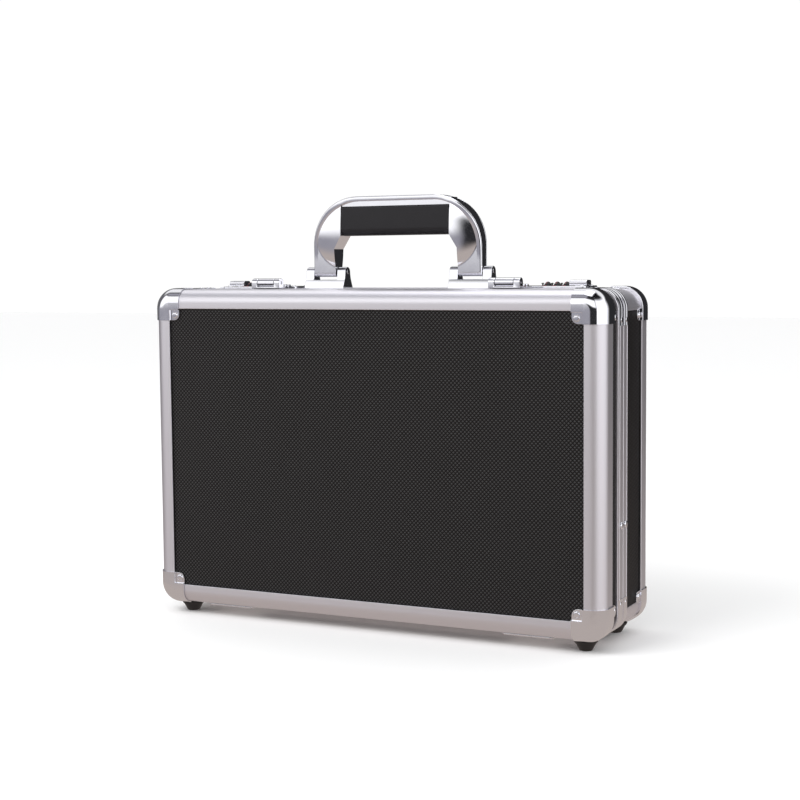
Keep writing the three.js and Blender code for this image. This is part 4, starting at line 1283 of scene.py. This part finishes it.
FIGURES = [figure_mesh(str(i)) for i in range(10)]
for side in SIDES:
    for number in (1, 2, 3):
        node = f"dial_{side}_{number}"
        low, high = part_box(node)
        centre = (low + high) / 2
        radius = (high.z - low.z) / 2
        half = (high.x - low.x) / 2
        rim = radius - figure_sunk
        wheel = turned([(0, -half), (dial_waist, -half), (rim, -ridge_half),
                        (rim, ridge_half), (dial_waist, half), (0, half)],
                       [(i, 0.3 * mm, 2) for i in (1, 2, 3, 4)], 40)
        along_x(wheel, 0, 0, 0)
        shift(wheel, *centre)
        body = f"dial_{side}_{number}"
        make_piece(f"{node}_moulded", wheel, body, DIAL_PLASTIC, node)
        figures = []
        for i, mesh in enumerate(FIGURES):
            figure = bmesh.new()
            figure.from_mesh(mesh)
            turn = Matrix.Rotation(i * math.pi / 5, 4, "X")
            stand = Matrix.Translation((0, 0, rim - touch))
            bmesh.ops.transform(figure, matrix=Matrix.Translation(centre) @ turn @ stand,
                                verts=figure.verts[:])
            figures.append(figure)
        make_piece(f"{node}_figures", tidy(gather(figures)), body, DIAL_RED)
print("dials made")

# %% [markdown]
# ## Lid stays
#
# Two flat steel arms on each side hold the open lid. Each arm is a strip with round ends,
# a rivet through the rim at its pivot, and one arm carries the rivet of the elbow.

# %% Lid stays
stay_radius = 5 * mm
stay_metal = 1.5 * mm
stay_shank, stay_head = 1.6 * mm, 3.2 * mm
stay_inset = {"base": 10 * mm, "lid": 11.8 * mm}
pin_low, pin_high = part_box("hinge_pin_right")
seam = (pin_low.y + pin_high.y) / 2
pivot_from_seam = 5.2 * mm
for shell, facts in SHELLS.items():
    for side, out in SIDES.items():
        node = f"{shell}_stay_arm_{side}"
        low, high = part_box(node)
        pivot_y = seam - facts["into"] * pivot_from_seam
        pivot_z = low.z + stay_radius
        elbow_z = high.z - stay_radius
        run = Vector((0, seam - pivot_y, elbow_z - pivot_z))
        length = run.length
        along = run / length
        across = Vector((0, -along.z, along.y))
        inset = stay_inset[shell]
        origin = Vector((out * (half_width - inset), pivot_y, pivot_z))
        strip = bar([(-stay_radius, -stay_radius), (length + stay_radius, -stay_radius),
                     (length + stay_radius, stay_radius), (-stay_radius, stay_radius)],
                    [(i, stay_radius * 0.98, 8) for i in range(4)], stay_metal)
        soften(strip, 0.25 * mm, 2, angle=60)
        matrix = axes(origin, along, across, (-out, 0, 0))
        placed(strip, matrix)
        shank = placed(rod(stay_shank, inset + clear + 0.4 * mm), axes(
            origin + Vector((-out * 0.3 * mm, 0, 0)), along, across, (out, 0, 0)))
        head = placed(dome(stay_head, 1.2 * mm, 0), axes(
            (out * (half_width + clear), pivot_y, pivot_z), along, across, (out, 0, 0)))
        parts = [strip, shank, head]
        if shell == "base":
            elbow = origin + run
            parts.append(placed(rod(stay_shank, 4 * mm), axes(
                elbow, along, across, (-out, 0, 0))))
            parts.append(placed(dome(stay_head, 0.9 * mm, 0), axes(
                elbow + Vector((-out * 3.6 * mm, 0, 0)), along, across, (-out, 0, 0))))
        arm = combine("UNION", *parts)
        if shell == "lid":
            hole = placed(rod(1.9 * mm, 6 * mm), axes(
                origin + run + Vector((out * 2 * mm, 0, 0)), along, across, (-out, 0, 0)))
            arm = combine("DIFFERENCE", arm, hole)
        make_piece(f"{node}_pressed", arm, f"{shell}_stay_{side}", PRESSED_CHROME, node)
print("stays made")

# %% [markdown]
# ## Lining
#
# The two linings are plain trays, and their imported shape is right, so they keep their mesh
# and only get the cloth.

# %% Lining
for shell in SHELLS:
    lining = frame["nodes"][f"{shell}_lining"]
    lining.data.materials.clear()
    lining.data.materials.append(LINING_CLOTH)
print("lining covered")

# %% [markdown]
# ## Studio
#
# A pale floor that runs on without an edge, and soft light from all round. Chrome shows
# whatever stands round it, so the light it reflects is shaped like a small studio: a
# bright sheet on the right, a pale wall in front and one to the left of it, a strong light
# overhead, two paler sheets high up behind, the floor, and near darkness between them.
# These are painted on the world by direction. The eye and the matt surfaces see a plain
# white room instead, and one large lamp, in front and high on the left, lights the case.

# %% Studio floor
floor_material, _, _ = finish_material("pale_studio_floor", "studio",
                                       Base_Color=colour("#fbfbfb"), Roughness=0.7)
bm = bmesh.new()
bmesh.ops.create_grid(bm, x_segments=1, y_segments=1, size=8)
floor_mesh = bpy.data.meshes.new("studio_floor")
bm.to_mesh(floor_mesh)
bm.free()
floor_mesh.materials.append(floor_material)
floor = bpy.data.objects.new("studio_floor", floor_mesh)
floor.visible_glossy = False
scene.collection.objects.link(floor)
print("floor laid")

# %% Studio light
world = bpy.data.worlds.new("studio")
world.use_nodes = True
scene.world = world
tree = world.node_tree
tree.nodes.clear()
direction = add(tree, "ShaderNodeTexCoord").outputs["Generated"]
parts = add(tree, "ShaderNodeSeparateXYZ", {0: direction})
backwards = add(tree, "ShaderNodeMath", {0: parts.outputs[1]}, operation="MULTIPLY", _1=-1)
heading = add(tree, "ShaderNodeMath", {0: parts.outputs[0], 1: backwards.outputs[0]},
              operation="ARCTAN2").outputs[0]
height = add(tree, "ShaderNodeMath", {0: parts.outputs[2]}, operation="ARCSINE").outputs[0]


def between(angle, low, low_soft, high, high_soft):
    """1 where an angle is between two limits in degrees, with soft edges."""
    rise = add(tree, "ShaderNodeMapRange", {"Value": angle}, interpolation_type="SMOOTHSTEP",
               From_Min=math.radians(low - low_soft), From_Max=math.radians(low + low_soft))
    fall = add(tree, "ShaderNodeMapRange", {"Value": angle}, interpolation_type="SMOOTHSTEP",
               From_Min=math.radians(high - high_soft),
               From_Max=math.radians(high + high_soft), To_Min=1, To_Max=0)
    return add(tree, "ShaderNodeMath", {0: rise.outputs[0], 1: fall.outputs[0]},
               operation="MULTIPLY").outputs[0]


sideways = add(tree, "ShaderNodeMath", {0: parts.outputs[0]}, operation="ARCSINE").outputs[0]
light = None
all_round = (-200, 5, 200, 5)
# Each sheet of light: which angle limits it across, that angle's limits with the softness
# of each, the limits of its height in the same way, its strength and its tone
for angle, across, upwards, strength, tone in (
        (heading, (34, 4, 124, 22), (-6, 6, 44, 10), 1.4, "#fdfdff"),
        (heading, (-75, 8, -17, 5), (1, 3, 40, 4), 1.2, "#ffffff"),
        (heading, (-20, 5, 30, 6), (10, 3, 40, 4), 1.15, "#ffffff"),
        (sideways, (-75, 8, 9, 5), (66, 5, 100, 2), 2.6, "#fbfcff"),
        (heading, (-75, 8, -12, 8), (44, 3, 62, 4), 0.38, "#e6e4f0"),
        (heading, (-85, 10, -14, 4), (-9, 4, 1, 3), 0.36, "#e6e4f0"),
        (heading, all_round, (-95, 1, -9, 4), 0.52, "#f4e6de"),
        (heading, all_round, (-9, 4, 60, 8), 0.03, "#e8e8f0"),
        (heading, (120, 15, 200, 5), (34, 6, 64, 6), 0.9, "#ffffff"),
        (heading, (-200, 5, -90, 15), (34, 6, 64, 6), 0.9, "#ffffff"),
        (heading, (-150, 15, -85, 10), (-9, 4, 34, 6), 0.14, "#eeeef4")):
    across = between(angle, *across)
    upwards = between(height, *upwards)
    shape = add(tree, "ShaderNodeMath", {0: across, 1: upwards}, operation="MULTIPLY")
    scaled = add(tree, "ShaderNodeMath", {0: shape.outputs[0]}, operation="MULTIPLY",
                 _1=strength)
    tinted = add(tree, "ShaderNodeVectorMath", {"Scale": scaled.outputs[0]},
                 operation="SCALE", Vector=colour(tone)[:3])
    if light is None:
        light = tinted.outputs[0]
    else:
        light = add(tree, "ShaderNodeVectorMath", {0: light, 1: tinted.outputs[0]},
                    operation="ADD").outputs[0]
studio = add(tree, "ShaderNodeBackground", {"Color": light}, Strength=1)
backdrop = add(tree, "ShaderNodeBackground", Color=colour("#ffffff"), Strength=1.02)
ray = add(tree, "ShaderNodeLightPath")
plain = add(tree, "ShaderNodeMath", {0: ray.outputs["Is Camera Ray"],
                                     1: ray.outputs["Is Diffuse Ray"]},
            operation="ADD", use_clamp=True)
chosen = add(tree, "ShaderNodeMixShader", {0: plain.outputs[0], 1: studio.outputs[0],
                                           2: backdrop.outputs[0]})
add(tree, "ShaderNodeOutputWorld", {0: chosen.outputs[0]})


def soft_light(name, place, target, size, power):
    data = bpy.data.lights.new(name, "AREA")
    data.shape = "RECTANGLE"
    data.size, data.size_y = size
    data.energy = power
    lamp = bpy.data.objects.new(name, data)
    lamp.location = place
    lamp.rotation_mode = "QUATERNION"
    lamp.rotation_quaternion = (Vector(target) - Vector(place)).to_track_quat("-Z", "Y")
    lamp.visible_glossy = False
    scene.collection.objects.link(lamp)


soft_light("key_light", place=(-0.9, -1.7, 2.0), target=(0, 0, 0.1), size=(1.6, 1.2),
           power=34)
print("studio lit")
